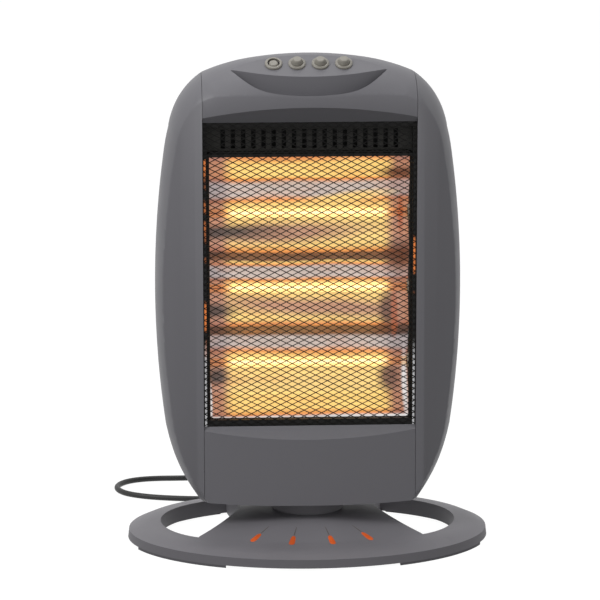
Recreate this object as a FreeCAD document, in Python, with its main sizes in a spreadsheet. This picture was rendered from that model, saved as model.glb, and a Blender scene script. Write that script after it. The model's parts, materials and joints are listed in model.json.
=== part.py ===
import FreeCAD, Part
import math
import operator
import os
import types

import Sketcher

# Upright infrared heater: three quartz lamps in a swivelling head on an oval ring base.
# The front looks towards -Y, +Z is up, and the origin lies on the floor under the swivel axis.

V = FreeCAD.Vector

# Driving sizes: millimetres, degrees where the name says angle, and counts.
SIZES = {
    # Head casing
    "head_width": 305.0,
    "head_height": 451.0,
    "head_lift": 43.0,
    "front_depth": 62.0,
    "rear_depth": 46.0,
    "side_rounding": 45.0,
    "top_rounding": 60.0,
    "foot_rounding": 8.0,
    "rounding_power": 2.4,
    "crown_radius": 622.0,
    "crown_depth": 59.0,
    "shell_wall": 2.5,
    "seam_half_width": 105.5,
    "seam_gap": 0.4,
    "rear_split": 6.0,
    "lip_wall": 2.5,
    "overrun": 20.0,
    # Front opening and its guard
    "opening_top": 432.5,
    "opening_bottom": 127.0,
    "eyebrow_run": 12.0,
    "eyebrow_rise": 14.9,
    "chin_run": 12.0,
    "chin_drop": 10.6,
    "guard_depth": 46.0,
    "mesh_thickness": 1.0,
    "mesh_columns": 8,
    "mesh_rows": 14,
    "mesh_strand": 2.2,
    "mesh_rim": 2.0,
    "frame_depth": 9.0,
    "frame_bar": 4.0,
    "frame_foot_bar": 6.0,
    "frame_gap": 0.3,
    "vent_bar_height": 398.0,
    "vent_bar": 3.0,
    "vent_thickness": 1.2,
    "vent_slots": 18,
    "vent_pitch": 10.0,
    "vent_slot_width": 4.5,
    "vent_slot_height": 19.0,
    # Reflector and lamps
    "reflector_half_width": 101.0,
    "reflector_cheek": 97.0,
    "reflector_sheet": 1.0,
    "reflector_flange": 5.0,
    "trough_depth": 40.0,
    "ridge_depth": 14.0,
    "lamp_low": 184.0,
    "lamp_pitch": 76.0,
    "lamp_count": 3,
    "lamp_depth": 10.0,
    "glass_radius": 5.0,
    "glass_wall": 1.0,
    "glass_half_length": 103.0,
    "glass_hole_gap": 0.5,
    "filament_radius": 1.1,
    "cap_radius": 7.5,
    "cap_start": 99.0,
    "cap_length": 16.0,
    "cap_fit": 0.05,
    "bracket_start": 106.0,
    "bracket_sheet": 1.2,
    "bracket_front": 10.0,
    # Inner frame of the head
    "shield_depth": 14.0,
    "shield_sheet": 1.0,
    "shield_half_width": 110.0,
    "shield_top": 396.0,
    "shield_foot_half_width": 40.0,
    "shield_foot_front": 25.0,
    "shield_foot_sheet": 1.2,
    "shield_start": 66.0,
    "cutout_radius": 8.0,
    "cutout_length": 10.0,
    "cutout_height": 330.0,
    "cutout_offset": 60.0,
    "tip_box_width": 25.0,
    "tip_box_depth": 24.0,
    "tip_box_height": 26.0,
    # Control face, grip pocket and buttons: the face's edge and the grip's lip are measured down from the roof
    "face_half_width": 77.0,
    "face_corner": 28.0,
    "face_front": 37.6,
    "face_edge_height": 18.0,
    "face_angle": 34.0,
    "grip_front": 58.0,
    "grip_lip_height": 35.0,
    "grip_angle": 20.0,
    "button_pitch": 23.0,
    "button_count": 4,
    "button_slope": 18.6,
    "button_radius": 5.75,
    "button_top_radius": 4.4,
    "button_rise": 7.0,
    "button_shoulder": 2.8,
    "button_skirt": 7.0,
    "button_travel": 5.0,
    "button_gap": 0.35,
    "stem_radius": 2.5,
    "stem_length": 4.0,
    "bezel_radius": 8.5,
    "bezel_height": 2.2,
    "bezel_chamfer": 0.8,
    "switch_width": 15.0,
    "switch_depth": 22.0,
    "switch_floor": 4.0,
    # Rear cover
    "louvre_count": 12,
    "louvre_pitch": 11.0,
    "louvre_height": 4.0,
    "louvre_half_width": 62.0,
    "louvre_start": 268.0,
    # Base
    "base_width": 364.0,
    "base_depth": 252.0,
    "foot_height": 2.5,
    "rim_inset": 1.0,
    "rim_height": 11.0,
    "crown_inset": 13.0,
    "crown_height": 16.5,
    "band_width": 33.0,
    "band_height": 18.5,
    "crest_radius": 50.0,
    "crest_height": 32.0,
    "base_wall": 2.5,
    "hole_half_depth": 64.0,
    "hole_corner": 112.0,
    "hole_inner": 79.0,
    "plate_width": 130.0,
    "plate_depth": 170.0,
    "plate_thickness": 2.0,
    "boss_radius": 4.0,
    "boss_inset": 12.0,
    "pad_width": 24.0,
    "pad_start": 86.0,
    "pad_end": 172.0,
    "pad_setback": 30.0,
    # Swivel and its drive
    "collar_radius": 45.0,
    "collar_top": 41.5,
    "bush_radius": 30.0,
    "bush_flange_radius": 40.0,
    "bush_flange": 0.9,
    "bush_foot": 28.0,
    "post_radius": 26.0,
    "post_bore": 18.0,
    "post_foot": 22.0,
    "post_flange_radius": 31.0,
    "post_seat_lift": 1.7,
    "post_flange": 3.0,
    "run_fit": 0.05,
    "floor_fit": 0.1,
    "motor_offset": 30.0,
    "motor_radius": 25.0,
    "motor_height": 11.5,
    "shaft_radius": 3.0,
    "crank_lift": 0.5,
    "crank_thickness": 2.0,
    "crank_throw": 21.0,
    "crank_rim": 5.0,
    "pin_radius": 2.5,
    "pin_height": 4.0,
    "arm_thickness": 2.5,
    "arm_radius": 24.0,
    "arm_width": 16.0,
    "arm_length": 59.0,
    "slot_start": 32.0,
    "slot_end": 56.0,
    "slot_play": 1.0,
    # Mains lead
    "cord_radius": 3.0,
    "relief_radius": 4.2,
    "relief_tip_radius": 3.4,
    "relief_length": 22.0,
    "relief_root": 8.0,
    "relief_height": 7.0,
    "relief_offset": 38.0,
    "relief_angle": 154.0,
    "relief_gap": 1.35,
    "coil_turns": 5,
    "coil_radius": 42.0,
    "coil_pitch": 6.6,
    "coil_offset": 180.0,
    "plug_gap": 0.45,
    "plug_radius": 18.0,
    "plug_length": 34.0,
    "plug_tail": 22.0,
    "plug_tail_radius": 5.5,
    "plug_pin_radius": 2.4,
    "plug_pin_length": 19.0,
    "plug_pin_spread": 9.5,
}

# Outline of the head seen from the front: shares of its half width and of its height.
FOOT_SHARES = (0.734, 0.0)
BULGE_SHARES = (0.843, 0.071)
FLANK_SHARES = (0.938, 0.175)
WAIST_SHARES = (1.0, 0.492)
SHOULDER_SHARES = (0.905, 0.854)
CORNER_SHARES = (0.833, 0.9235)
EAVE_SHARES = (0.682, 0.967)
ROOF_SHARES = (0.0, 1.0)

# How far the casing has drawn in at each section, as shares of the full rounding.
SECTION_SHARES = (0.0, 0.06, 0.18, 0.4, 0.7, 1.0)

# Route of the mains lead on the floor from its strain relief to the coil: X and Y in millimetres.
CORD_ROUTE = (
    (-80.0, 134.6), (-104.0, 134.6), (-134.0, 138.6), (-164.0, 147.0), (-188.0, 163.0),
    (-196.0, 188.0), (-184.0, 211.0), (-158.0, 221.0), (-120.0, 220.0), (-80.0, 223.5), (-40.0, 222.0),
)

# Route of the lead from the top of the coil to the plug: X, Y and Z in millimetres.
TAIL_ROUTE = ((20.0, 222.4, 10.1), (40.0, 223.0, 15.4), (60.0, 222.6, 18.0))

# A bend in the lead takes up this share of its shorter straight run.
BEND_SHARE = 0.45

# The coil is drawn in arcs between this many points a turn, and measured at this many.
COIL_POINTS = 4
COIL_SAMPLES = 72


class Size(float):
    """A number that remembers the sheet expression it was worked out by."""

    def __new__(cls, value, text):
        size = super().__new__(cls, value)
        size.text = text
        return size

    def __add__(self, other):
        return combine(self, "+", other)

    def __radd__(self, other):
        return combine(other, "+", self)

    def __sub__(self, other):
        return combine(self, "-", other)

    def __rsub__(self, other):
        return combine(other, "-", self)

    def __mul__(self, other):
        return combine(self, "*", other)

    def __rmul__(self, other):
        return combine(other, "*", self)

    def __truediv__(self, other):
        return combine(self, "/", other)

    def __neg__(self):
        return combine(0, "-", self)


OPERATORS = {"+": operator.add, "-": operator.sub, "*": operator.mul, "/": operator.truediv}


def combine(left, sign, right):
    value = OPERATORS[sign](float(left), float(right))
    return Size(value, f"({text_of(left)} {sign} {text_of(right)})")


def text_of(value):
    return value.text if isinstance(value, Size) else repr(float(value))


doc = FreeCAD.newDocument("infrared_heater")
sheet = doc.addObject("Spreadsheet::Sheet", "sizes")
for row, (alias, value) in enumerate(SIZES.items(), start=1):
    sheet.set(f"A{row}", alias)
    sheet.set(f"B{row}", str(value))
    sheet.setAlias(f"B{row}", alias)
doc.recompute()
s = types.SimpleNamespace(**{alias: Size(float(sheet.get(alias)), f"sizes.{alias}") for alias in SIZES})

pieces = []


def piece(kind, label):
    """Add a document object that becomes one named piece of the heater."""
    made = doc.addObject(kind, label)
    made.Label = label
    pieces.append(made)
    return made


def solid(label, shape):
    """A piece whose shape is worked out with Part's own functions."""
    made = piece("Part::Feature", label)
    made.Shape = shape
    made.Placement = FreeCAD.Placement()
    return made


def bind(thing, prop, value):
    """Set a property by the sheet expression that its value was worked out by."""
    thing.setExpression(prop, text_of(value))


def place(thing, x=0, y=0, z=0, rotation=FreeCAD.Rotation()):
    thing.Placement = FreeCAD.Placement(V(x, y, z), rotation)
    for axis, value in zip("xyz", (x, y, z)):
        bind(thing, f"Placement.Base.{axis}", value)


# Bodies: sketches on the origin planes, bound to the sheet


def plane_of(body, role):
    return next(feature for feature in body.Origin.OriginFeatures if feature.Role == role)


def sketch_on(body, role, offset=0):
    sketch = body.newObject("Sketcher::SketchObject", body.Label + "_sketch")
    sketch.AttachmentSupport = [(plane_of(body, role), "")]
    sketch.MapMode = "FlatFace"
    bind(sketch, "AttachmentOffset.Base.z", offset)
    return sketch


def pin_point(sketch, index, spot, x, y):
    """Hold one point of a sketch at the given distances from the sketch's origin."""
    for kind, axis, value in (("DistanceX", -2, x), ("DistanceY", -1, y)):
        if value == 0:
            sketch.addConstraint(Sketcher.Constraint("PointOnObject", index, spot, axis))
            continue
        held = sketch.addConstraint(Sketcher.Constraint(kind, -1, 1, index, spot, float(value)))
        bind(sketch, f"Constraints[{held}]", value)


def polygon(sketch, corners):
    first = sketch.GeometryCount
    points = [V(x, y, 0) for x, y in corners]
    for start, end in zip(points, points[1:] + points[:1]):
        sketch.addGeometry(Part.LineSegment(start, end), False)
    for index in range(len(points)):
        following = first + (index + 1) % len(points)
        sketch.addConstraint(Sketcher.Constraint("Coincident", first + index, 2, following, 1))
    for index, (x, y) in enumerate(corners):
        pin_point(sketch, first + index, 1, x, y)


def circle(sketch, radius, x=0, y=0):
    index = sketch.addGeometry(Part.Circle(V(x, y, 0), V(0, 0, 1), float(radius)), False)
    held = sketch.addConstraint(Sketcher.Constraint("Radius", index, float(radius)))
    bind(sketch, f"Constraints[{held}]", radius)
    pin_point(sketch, index, 3, x, y)


def rectangle(sketch, x_low, x_high, y_low, y_high):
    polygon(sketch, ((x_low, y_low), (x_high, y_low), (x_high, y_high), (x_low, y_high)))


def pad(body, sketch, length, backwards=False):
    feature = body.newObject("PartDesign::Pad", body.Label + "_pad")
    feature.Profile = sketch
    bind(feature, "Length", length)
    feature.Reversed = backwards
    doc.recompute()
    return feature


def pocket(body, sketch, length, backwards=False):
    before = body.Shape.Volume
    feature = body.newObject("PartDesign::Pocket", body.Label + "_pocket")
    feature.Profile = sketch
    bind(feature, "Length", length)
    feature.Reversed = backwards
    doc.recompute()
    if body.Shape.Volume >= before:
        raise ValueError(f"the pocket of {body.Label} cuts nothing")
    return feature


def turned(label, corners):
    """A piece turned about its own Z axis from a profile of radii and heights."""
    body = piece("PartDesign::Body", label)
    sketch = sketch_on(body, "XZ_Plane")
    polygon(sketch, corners)
    feature = body.newObject("PartDesign::Revolution", label + "_turned")
    feature.Profile = sketch
    feature.ReferenceAxis = (sketch, ["V_Axis"])
    feature.Angle = 360.0
    doc.recompute()
    return body


# Primitives: boxes and rods bound to the sheet, and booleans of them

ROD_TURNS = {
    "x": FreeCAD.Rotation(V(0, 1, 0), 90),
    "y": FreeCAD.Rotation(V(1, 0, 0), -90),
    "z": FreeCAD.Rotation(),
}


def box(x_low, x_high, y_low, y_high, z_low, z_high, label=None):
    made = piece("Part::Box", label) if label else doc.addObject("Part::Box", "block")
    for prop, low, high in (("Length", x_low, x_high), ("Width", y_low, y_high), ("Height", z_low, z_high)):
        bind(made, prop, high - low)
    place(made, x_low, y_low, z_low)
    return made


def rod(radius, low, high, axis, x=0, y=0, z=0, label=None):
    """A cylinder from low to high along one axis, through the point given by the other two."""
    made = piece("Part::Cylinder", label) if label else doc.addObject("Part::Cylinder", "rod")
    bind(made, "Radius", radius)
    bind(made, "Height", high - low)
    spot = {"x": x, "y": y, "z": z}
    spot[axis] = low
    place(made, spot["x"], spot["y"], spot["z"], ROD_TURNS[axis])
    return made


def cut(base, tool, label=None):
    made = piece("Part::Cut", label) if label else doc.addObject("Part::Cut", "cut")
    made.Base = base
    made.Tool = tool
    return made


def fuse(parts, label=None):
    made = piece("Part::MultiFuse", label) if label else doc.addObject("Part::MultiFuse", "fuse")
    made.Shapes = parts
    return made


# Free shapes: arcs, lofts and prisms


def arc(start, middle, end):
    return Part.Arc(start, middle, end).toShape()


def line(start, end):
    return Part.LineSegment(start, end).toShape()


def side_prism(points, half_width):
    """A prism along X whose section is given by points of Y and Z."""
    corners = [V(-half_width, y, z) for y, z in points]
    wire = Part.makePolygon(corners + corners[:1])
    return Part.Face(wire).extrude(V(2 * half_width, 0, 0))


def block(x_low, x_high, y_low, y_high, z_low, z_high):
    return Part.makeBox(x_high - x_low, y_high - y_low, z_high - z_low, V(x_low, y_low, z_low))


def outline_wire(half_width, low, high, depth):
    """The head's outline seen from the front, as tangent-like arcs between its named points."""
    def at(shares, side):
        return V(side * half_width * shares[0], depth, low + (high - low) * shares[1])

    def flank(side):
        return (
            arc(at(FOOT_SHARES, side), at(BULGE_SHARES, side), at(FLANK_SHARES, side)),
            arc(at(FLANK_SHARES, side), at(WAIST_SHARES, side), at(SHOULDER_SHARES, side)),
            arc(at(SHOULDER_SHARES, side), at(CORNER_SHARES, side), at(EAVE_SHARES, side)),
        )

    sole = line(at(FOOT_SHARES, -1), at(FOOT_SHARES, 1))
    roof = arc(at(EAVE_SHARES, 1), at(ROOF_SHARES, 1), at(EAVE_SHARES, -1))
    return Part.Wire([sole, *flank(1), roof, *reversed(flank(-1))])


def head_section(share, reach, inset):
    """The casing's outline where it has drawn in by a share of its rounding."""
    power = s.rounding_power
    depth = (reach - math.copysign(inset, reach)) * (1 - (1 - share) ** power) ** (1 / power)
    half_width = s.head_width / 2 - inset - s.side_rounding * share
    low = s.head_lift + inset + s.foot_rounding * share
    high = s.head_lift + s.head_height - inset - s.top_rounding * share
    return outline_wire(half_width, low, high, depth)


def head_form(inset):
    """The pillow-shaped head with a crowned front, drawn in all round by an inset."""
    front = [head_section(share, -s.front_depth, inset) for share in reversed(SECTION_SHARES)]
    rear = [head_section(share, s.rear_depth, inset) for share in SECTION_SHARES[1:]]
    pillow = Part.makeLoft(front + rear, True)
    crown_centre = V(0, s.crown_radius - s.crown_depth, s.head_lift - s.overrun)
    crown = Part.makeCylinder(s.crown_radius - inset, s.head_height + 2 * s.overrun, crown_centre)
    return pillow.common(crown)


head_top = s.head_lift + s.head_height
far_front = -(s.front_depth + s.overrun)
far_rear = s.rear_depth + s.overrun
far_side = s.head_width / 2 + s.overrun
outer_form = head_form(0)
inner_form = head_form(s.shell_wall)
casing = outer_form.cut(inner_form)
panel_half = s.seam_half_width - s.seam_gap


# Control face and grip: a flat facet cut into the roof, with a half-moon grip pocket in front of it

face_turn = FreeCAD.Rotation(V(1, 0, 0), s.face_angle)
slope_rise = math.tan(math.radians(s.face_angle))
grip_fall = math.tan(math.radians(s.grip_angle))
high_above = head_top + s.overrun
face_edge = head_top - s.face_edge_height
grip_lip = head_top - s.grip_lip_height


def plan_prism(edges):
    """A prism from below the control face to above the roof, over a closed plan of edges."""
    floor = Part.Face(Part.Wire(edges))
    return floor.extrude(V(0, 0, high_above - s.opening_top))


def face_cut(wall):
    """What the control face takes off the roof, grown by a wall."""
    base = s.opening_top
    left = V(-s.face_half_width, -s.face_corner - wall, base)
    right = V(s.face_half_width, -s.face_corner - wall, base)
    middle = V(0, -s.face_front - wall, base)
    corners = [V(s.head_width / 2, -s.face_corner - wall, base), V(s.head_width / 2, far_rear, base),
               V(-s.head_width / 2, far_rear, base), V(-s.head_width / 2, -s.face_corner - wall, base)]
    behind = plan_prism([
        arc(left, middle, right), line(right, corners[0]), line(corners[0], corners[1]),
        line(corners[1], corners[2]), line(corners[2], corners[3]), line(corners[3], left)])
    edge = face_edge - wall / math.cos(math.radians(s.face_angle))
    above = side_prism((
        (far_front, edge + (far_front + s.face_front) * slope_rise),
        (far_front, high_above),
        (far_rear, high_above + (far_rear - far_front) * slope_rise),
        (far_rear, edge + (far_rear + s.face_front) * slope_rise),
    ), s.head_width)
    return behind.common(above)


def grip_cut(wall):
    """What the grip pocket takes out in front of the control face, grown by a wall."""
    base = s.opening_top
    left = V(-s.face_half_width, -s.face_corner, base)
    right = V(s.face_half_width, -s.face_corner, base)
    pocket_plan = Part.Face(Part.Wire([
        arc(left, V(0, -s.grip_front, base), right), arc(right, V(0, -s.face_front, base), left)]))
    if wall:
        pocket_plan = pocket_plan.makeOffset2D(wall)
    tower = pocket_plan.extrude(V(0, 0, high_above - base))
    lip = grip_lip - wall / math.cos(math.radians(s.grip_angle))
    above = side_prism((
        (far_front, lip - (far_front + s.grip_front) * grip_fall),
        (far_front, high_above),
        (far_rear, high_above),
        (far_rear, lip - (far_rear + s.grip_front) * grip_fall),
    ), s.head_width)
    return tower.common(above)


def on_face(x, slope, lift):
    """A point of the control face: across, up the slope and above it."""
    return V(x, -s.face_front, face_edge) + face_turn.multVec(V(0, slope, lift))


def face_place(x):
    return FreeCAD.Placement(on_face(x, s.button_slope, 0), face_turn)


def face_rod(x, radius, low, high):
    """A cylinder square to the control face, from low to high above it."""
    drill = Part.makeCylinder(radius, high - low, V(0, 0, low))
    drill.Placement = face_place(x)
    return drill


button_places = [
    (index - (s.button_count - 1) / 2) * s.button_pitch for index in range(int(s.button_count))
]


# Casing panels

def roof_region(half_width):
    brow_slope = s.eyebrow_rise / s.eyebrow_run
    brow_front = s.opening_top + (-s.guard_depth - far_front) * brow_slope
    whole = side_prism((
        (-s.guard_depth, s.opening_top),
        (far_front, brow_front),
        (far_front, high_above),
        (s.rear_split, high_above),
        (s.rear_split, s.opening_top),
    ), half_width)
    lip = s.lip_wall * math.hypot(s.eyebrow_run, s.eyebrow_rise) / s.eyebrow_run
    room = side_prism((
        (-s.guard_depth, s.opening_top - s.overrun),
        (-s.guard_depth, s.opening_top + lip),
        (far_front, brow_front + lip),
        (far_front, high_above),
        (far_rear, high_above),
        (far_rear, s.opening_top - s.overrun),
    ), s.head_width)
    cavity = inner_form.common(room).cut(face_cut(s.shell_wall)).cut(grip_cut(s.shell_wall))
    return outer_form.cut(face_cut(0)).cut(grip_cut(0)).common(whole).cut(cavity)


def sole_region(half_width):
    chin_slope = s.chin_drop / s.chin_run
    chin_front = s.opening_bottom - (-s.guard_depth - far_front) * chin_slope
    floor = s.head_lift - s.overrun
    whole = side_prism((
        (-s.guard_depth, s.opening_bottom),
        (far_front, chin_front),
        (far_front, floor),
        (s.rear_split, floor),
        (s.rear_split, s.opening_bottom),
    ), half_width)
    lip = s.lip_wall * math.hypot(s.chin_run, s.chin_drop) / s.chin_run
    room = side_prism((
        (-s.guard_depth, s.opening_bottom + s.overrun),
        (-s.guard_depth, s.opening_bottom - lip),
        (far_front, chin_front - lip),
        (far_front, floor),
        (far_rear, floor),
        (far_rear, s.opening_bottom + s.overrun),
    ), s.head_width)
    return outer_form.common(whole).cut(inner_form.common(room))


floor_hole = Part.makeCylinder(
    s.post_radius + s.floor_fit, s.head_lift + s.overrun, V(0, 0, s.head_lift / 2))
top_shape = roof_region(panel_half)
for across in button_places:
    top_shape = top_shape.cut(
        face_rod(across, s.button_radius + s.button_gap, -2 * s.shell_wall, s.shell_wall))
top_panel = solid("top_panel", top_shape)
solid("bottom_panel", sole_region(panel_half).cut(floor_hole))


def side_shell(label, side):
    """One flank of the casing, with a lip turned back along the opening."""
    inside = s.seam_half_width
    low = min(side * inside, side * far_side)
    high = max(side * inside, side * far_side)
    flank = casing.common(
        block(low, high, far_front, s.rear_split, s.head_lift - s.overrun, high_above))
    lip_low = min(side * inside, side * (inside + s.lip_wall))
    lip = block(lip_low, lip_low + s.lip_wall, far_front, -s.guard_depth + s.frame_depth,
                s.opening_bottom - s.lip_wall, s.opening_top + s.lip_wall)
    return solid(label, flank.fuse(outer_form.common(lip)).removeSplitter())


side_shell("side_shell_left", -1)
side_shell("side_shell_right", 1)

back_region = block(-far_side, far_side, s.rear_split + s.seam_gap, far_rear,
                    s.head_lift - s.overrun, high_above)
back_shape = casing.common(back_region).cut(floor_hole)
for index in range(int(s.louvre_count)):
    low = s.louvre_start + index * s.louvre_pitch
    slot = block(-s.louvre_half_width, s.louvre_half_width, s.shield_depth + s.overrun, far_rear,
                 low, low + s.louvre_height)
    back_shape = back_shape.cut(slot)
solid("rear_cover", back_shape)


# Guard: an open-mesh grille on a black frame, with the slotted vent panel above the lamps

frame_half = s.seam_half_width - s.frame_gap
frame_low = s.opening_bottom + s.frame_gap
frame_high = s.opening_top - s.frame_gap
frame_back = -s.guard_depth + s.mesh_thickness + s.frame_depth
frame_front = -s.guard_depth + s.mesh_thickness
frame_blank = box(-frame_half, frame_half, frame_front, frame_back, frame_low, frame_high)
window_low = box(-frame_half + s.frame_bar, frame_half - s.frame_bar, frame_front - s.overrun,
                 frame_back + s.overrun, frame_low + s.frame_foot_bar, s.vent_bar_height)
window_high = box(-frame_half + s.frame_bar, frame_half - s.frame_bar, frame_front - s.overrun,
                  frame_back + s.overrun, s.vent_bar_height + s.vent_bar, frame_high - s.frame_bar)
cut(frame_blank, fuse([window_low, window_high]), "guard_frame")


def mesh_shape():
    """A flat net of diamonds in staggered rows, cut through one sheet."""
    y = -s.guard_depth
    half_width = frame_half - s.frame_gap
    low = frame_low + s.frame_gap
    high = frame_high - s.frame_gap
    pitch_x = 2 * (half_width - s.mesh_rim) / s.mesh_columns
    pitch_z = (high - low - 2 * s.mesh_rim) / s.mesh_rows
    reach_x = (pitch_x - s.mesh_strand) / 2
    reach_z = (pitch_z - s.mesh_strand) / 2
    border = Part.makePolygon([
        V(-half_width, y, low), V(half_width, y, low), V(half_width, y, high),
        V(-half_width, y, high), V(-half_width, y, low)])
    gaps = []
    for row in range(2 * int(s.mesh_rows) - 1):
        shift = row % 2
        for column in range(int(s.mesh_columns) - shift):
            x = -half_width + s.mesh_rim + pitch_x * (column + (1 + shift) / 2)
            z = low + s.mesh_rim + pitch_z * (row + 1) / 2
            gaps.append(Part.makePolygon([
                V(x - reach_x, y, z), V(x, y, z - reach_z), V(x + reach_x, y, z),
                V(x, y, z + reach_z), V(x - reach_x, y, z)]))
    net = Part.makeFace([border, *gaps], "Part::FaceMakerBullseye")
    return net.extrude(V(0, s.mesh_thickness, 0))


solid("guard_mesh", mesh_shape())

vent_panel = piece("PartDesign::Body", "vent_panel")
vent_low = s.vent_bar_height + s.vent_bar / 2
vent_sheet = sketch_on(vent_panel, "XZ_Plane")
rectangle(vent_sheet, -frame_half, frame_half, vent_low, frame_high)
pad(vent_panel, vent_sheet, s.vent_thickness, True)
slot_middle = (vent_low + s.vent_bar / 2 + frame_high - s.frame_bar) / 2
slot_left = -(s.vent_slots - 1) / 2 * s.vent_pitch
slot_sketch = sketch_on(vent_panel, "XZ_Plane")
rectangle(slot_sketch, slot_left - s.vent_slot_width / 2, slot_left + s.vent_slot_width / 2,
          slot_middle - s.vent_slot_height / 2, slot_middle + s.vent_slot_height / 2)
first_slot = pocket(vent_panel, slot_sketch, s.vent_thickness + s.overrun)
slot_row = vent_panel.newObject("PartDesign::LinearPattern", "vent_slot_row")
slot_row.Originals = [first_slot]
slot_row.Direction = (slot_sketch, ["H_Axis"])
bind(slot_row, "Length", (s.vent_slots - 1) * s.vent_pitch)
bind(slot_row, "Occurrences", s.vent_slots)
vent_panel.Tip = slot_row
place(vent_panel, 0, frame_back, 0)


# Reflector: polished sheet with a scalloped trough behind each lamp and a cheek at each end

lamp_y = -s.lamp_depth
lamp_heights = [s.lamp_low + index * s.lamp_pitch for index in range(int(s.lamp_count))]
reflector_front = frame_back
reflector_low = frame_low + s.frame_foot_bar - s.reflector_flange / 2
reflector_high = vent_low - s.vent_bar / 2


def reflector_line(setback):
    """The scalloped section in Y and Z: flange, troughs with ridges between them, flange."""
    front = reflector_front + setback
    ridge = reflector_front + s.trough_depth - s.ridge_depth + setback
    deep = reflector_front + s.trough_depth + setback
    joints = [lamp_heights[0] - s.lamp_pitch / 2 + s.reflector_flange]
    joints += [height + s.lamp_pitch / 2 for height in lamp_heights[:-1]]
    joints += [lamp_heights[-1] + s.lamp_pitch / 2 - s.reflector_flange]
    start = V(0, front, reflector_low)
    flange = V(0, front, reflector_low + s.reflector_flange)
    edges = [line(start, flange), line(flange, V(0, ridge, joints[0]))]
    for height, low, high in zip(lamp_heights, joints, joints[1:]):
        edges.append(arc(V(0, ridge, low), V(0, deep, height), V(0, ridge, high)))
    end_flange = V(0, front, reflector_high - s.reflector_flange)
    edges.append(line(V(0, ridge, joints[-1]), end_flange))
    edges.append(line(end_flange, V(0, front, reflector_high)))
    return edges


def reflector_shape():
    near = reflector_line(0)
    back = reflector_line(s.reflector_sheet)
    ends = [
        line(near[0].Vertexes[0].Point, back[0].Vertexes[0].Point),
        line(near[-1].Vertexes[-1].Point, back[-1].Vertexes[-1].Point),
    ]
    section = Part.Face(Part.Wire(Part.__sortEdges__(near + back + ends)))
    half = s.reflector_half_width
    section.translate(V(-half, 0, 0))
    sheet_metal = section.extrude(V(2 * half, 0, 0))
    mouth = Part.Wire(Part.__sortEdges__(
        near + [line(near[-1].Vertexes[-1].Point, near[0].Vertexes[0].Point)]))
    profile = Part.Face(mouth)
    for side in (-1, 1):
        start = min(side * s.reflector_cheek, side * (s.reflector_cheek + s.reflector_sheet))
        cheek = profile.translated(V(start, 0, 0)).extrude(V(s.reflector_sheet, 0, 0))
        for height in lamp_heights:
            hole = Part.makeCylinder(s.glass_radius + s.glass_hole_gap, 2 * half,
                                     V(-half, lamp_y, height), V(1, 0, 0))
            cheek = cheek.cut(hole)
        sheet_metal = sheet_metal.fuse(cheek)
    return sheet_metal.removeSplitter()


solid("reflector", reflector_shape())

# Lamps: quartz tubes with a filament each, ceramic end caps and the brackets that carry the caps

for number, height in enumerate(lamp_heights, start=1):
    tube = rod(s.glass_radius, -s.glass_half_length, s.glass_half_length, "x", y=lamp_y, z=height)
    bore = rod(s.glass_radius - s.glass_wall, -s.glass_half_length, s.glass_half_length, "x",
               y=lamp_y, z=height)
    cut(tube, bore, f"lamp_glass_{number}")
    rod(s.filament_radius, -s.glass_half_length, s.glass_half_length, "x", y=lamp_y, z=height,
        label=f"filament_{number}")


def lamp_ends(side):
    """Ceramic caps over the lamp ends on one side, and the bracket that they sit in."""
    def span(start, end):
        return (min(side * start, side * end), max(side * start, side * end))

    caps = []
    seats = []
    for height in lamp_heights:
        cap = rod(s.cap_radius, *span(s.cap_start, s.cap_start + s.cap_length), "x", y=lamp_y, z=height)
        socket = rod(s.glass_radius + s.cap_fit, *span(s.cap_start, s.glass_half_length), "x",
                     y=lamp_y, z=height)
        caps.append(cut(cap, socket))
        seats.append(rod(s.cap_radius + s.cap_fit, *span(s.cap_start, s.cap_start + s.cap_length), "x",
                         y=lamp_y, z=height))
    strip = box(*span(s.bracket_start, s.bracket_start + s.bracket_sheet), lamp_y - s.bracket_front,
                s.shield_depth, lamp_heights[0] - 2 * s.cap_radius, lamp_heights[-1] + 2 * s.cap_radius)
    return caps, cut(strip, fuse(seats))


left_caps, left_bracket = lamp_ends(-1)
right_caps, right_bracket = lamp_ends(1)
fuse(left_caps + right_caps, "lamp_caps")
fuse([left_bracket, right_bracket], "lamp_brackets")


# Inner frame: a heat shield with a foot on the swivel post, and what it carries

post_seat = s.head_lift + s.shell_wall + s.post_seat_lift
post_top = post_seat + s.post_flange
shield_wall = box(-s.shield_half_width, s.shield_half_width, s.shield_depth,
                  s.shield_depth + s.shield_sheet, s.shield_start, s.shield_top)
shield_riser = box(-s.shield_foot_half_width, s.shield_foot_half_width, s.shield_depth,
                   s.shield_depth + s.shield_sheet, post_top, s.shield_start)
shield_foot = box(-s.shield_foot_half_width, s.shield_foot_half_width, -s.shield_foot_front,
                  s.shield_depth + s.shield_sheet, post_top, post_top + s.shield_foot_sheet)
fuse([shield_wall, shield_riser, shield_foot], "heat_shield")
shield_back = s.shield_depth + s.shield_sheet
rod(s.cutout_radius, shield_back, shield_back + s.cutout_length, "y", x=s.cutout_offset,
    z=s.cutout_height, label="thermal_cutout")
foot_top = post_top + s.shield_foot_sheet
box(-s.tip_box_width / 2, s.tip_box_width / 2, -s.shield_foot_front,
    -s.shield_foot_front + s.tip_box_depth, foot_top, foot_top + s.tip_box_height, label="tip_switch")


# Switches, bezels and buttons on the sloping face

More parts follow.
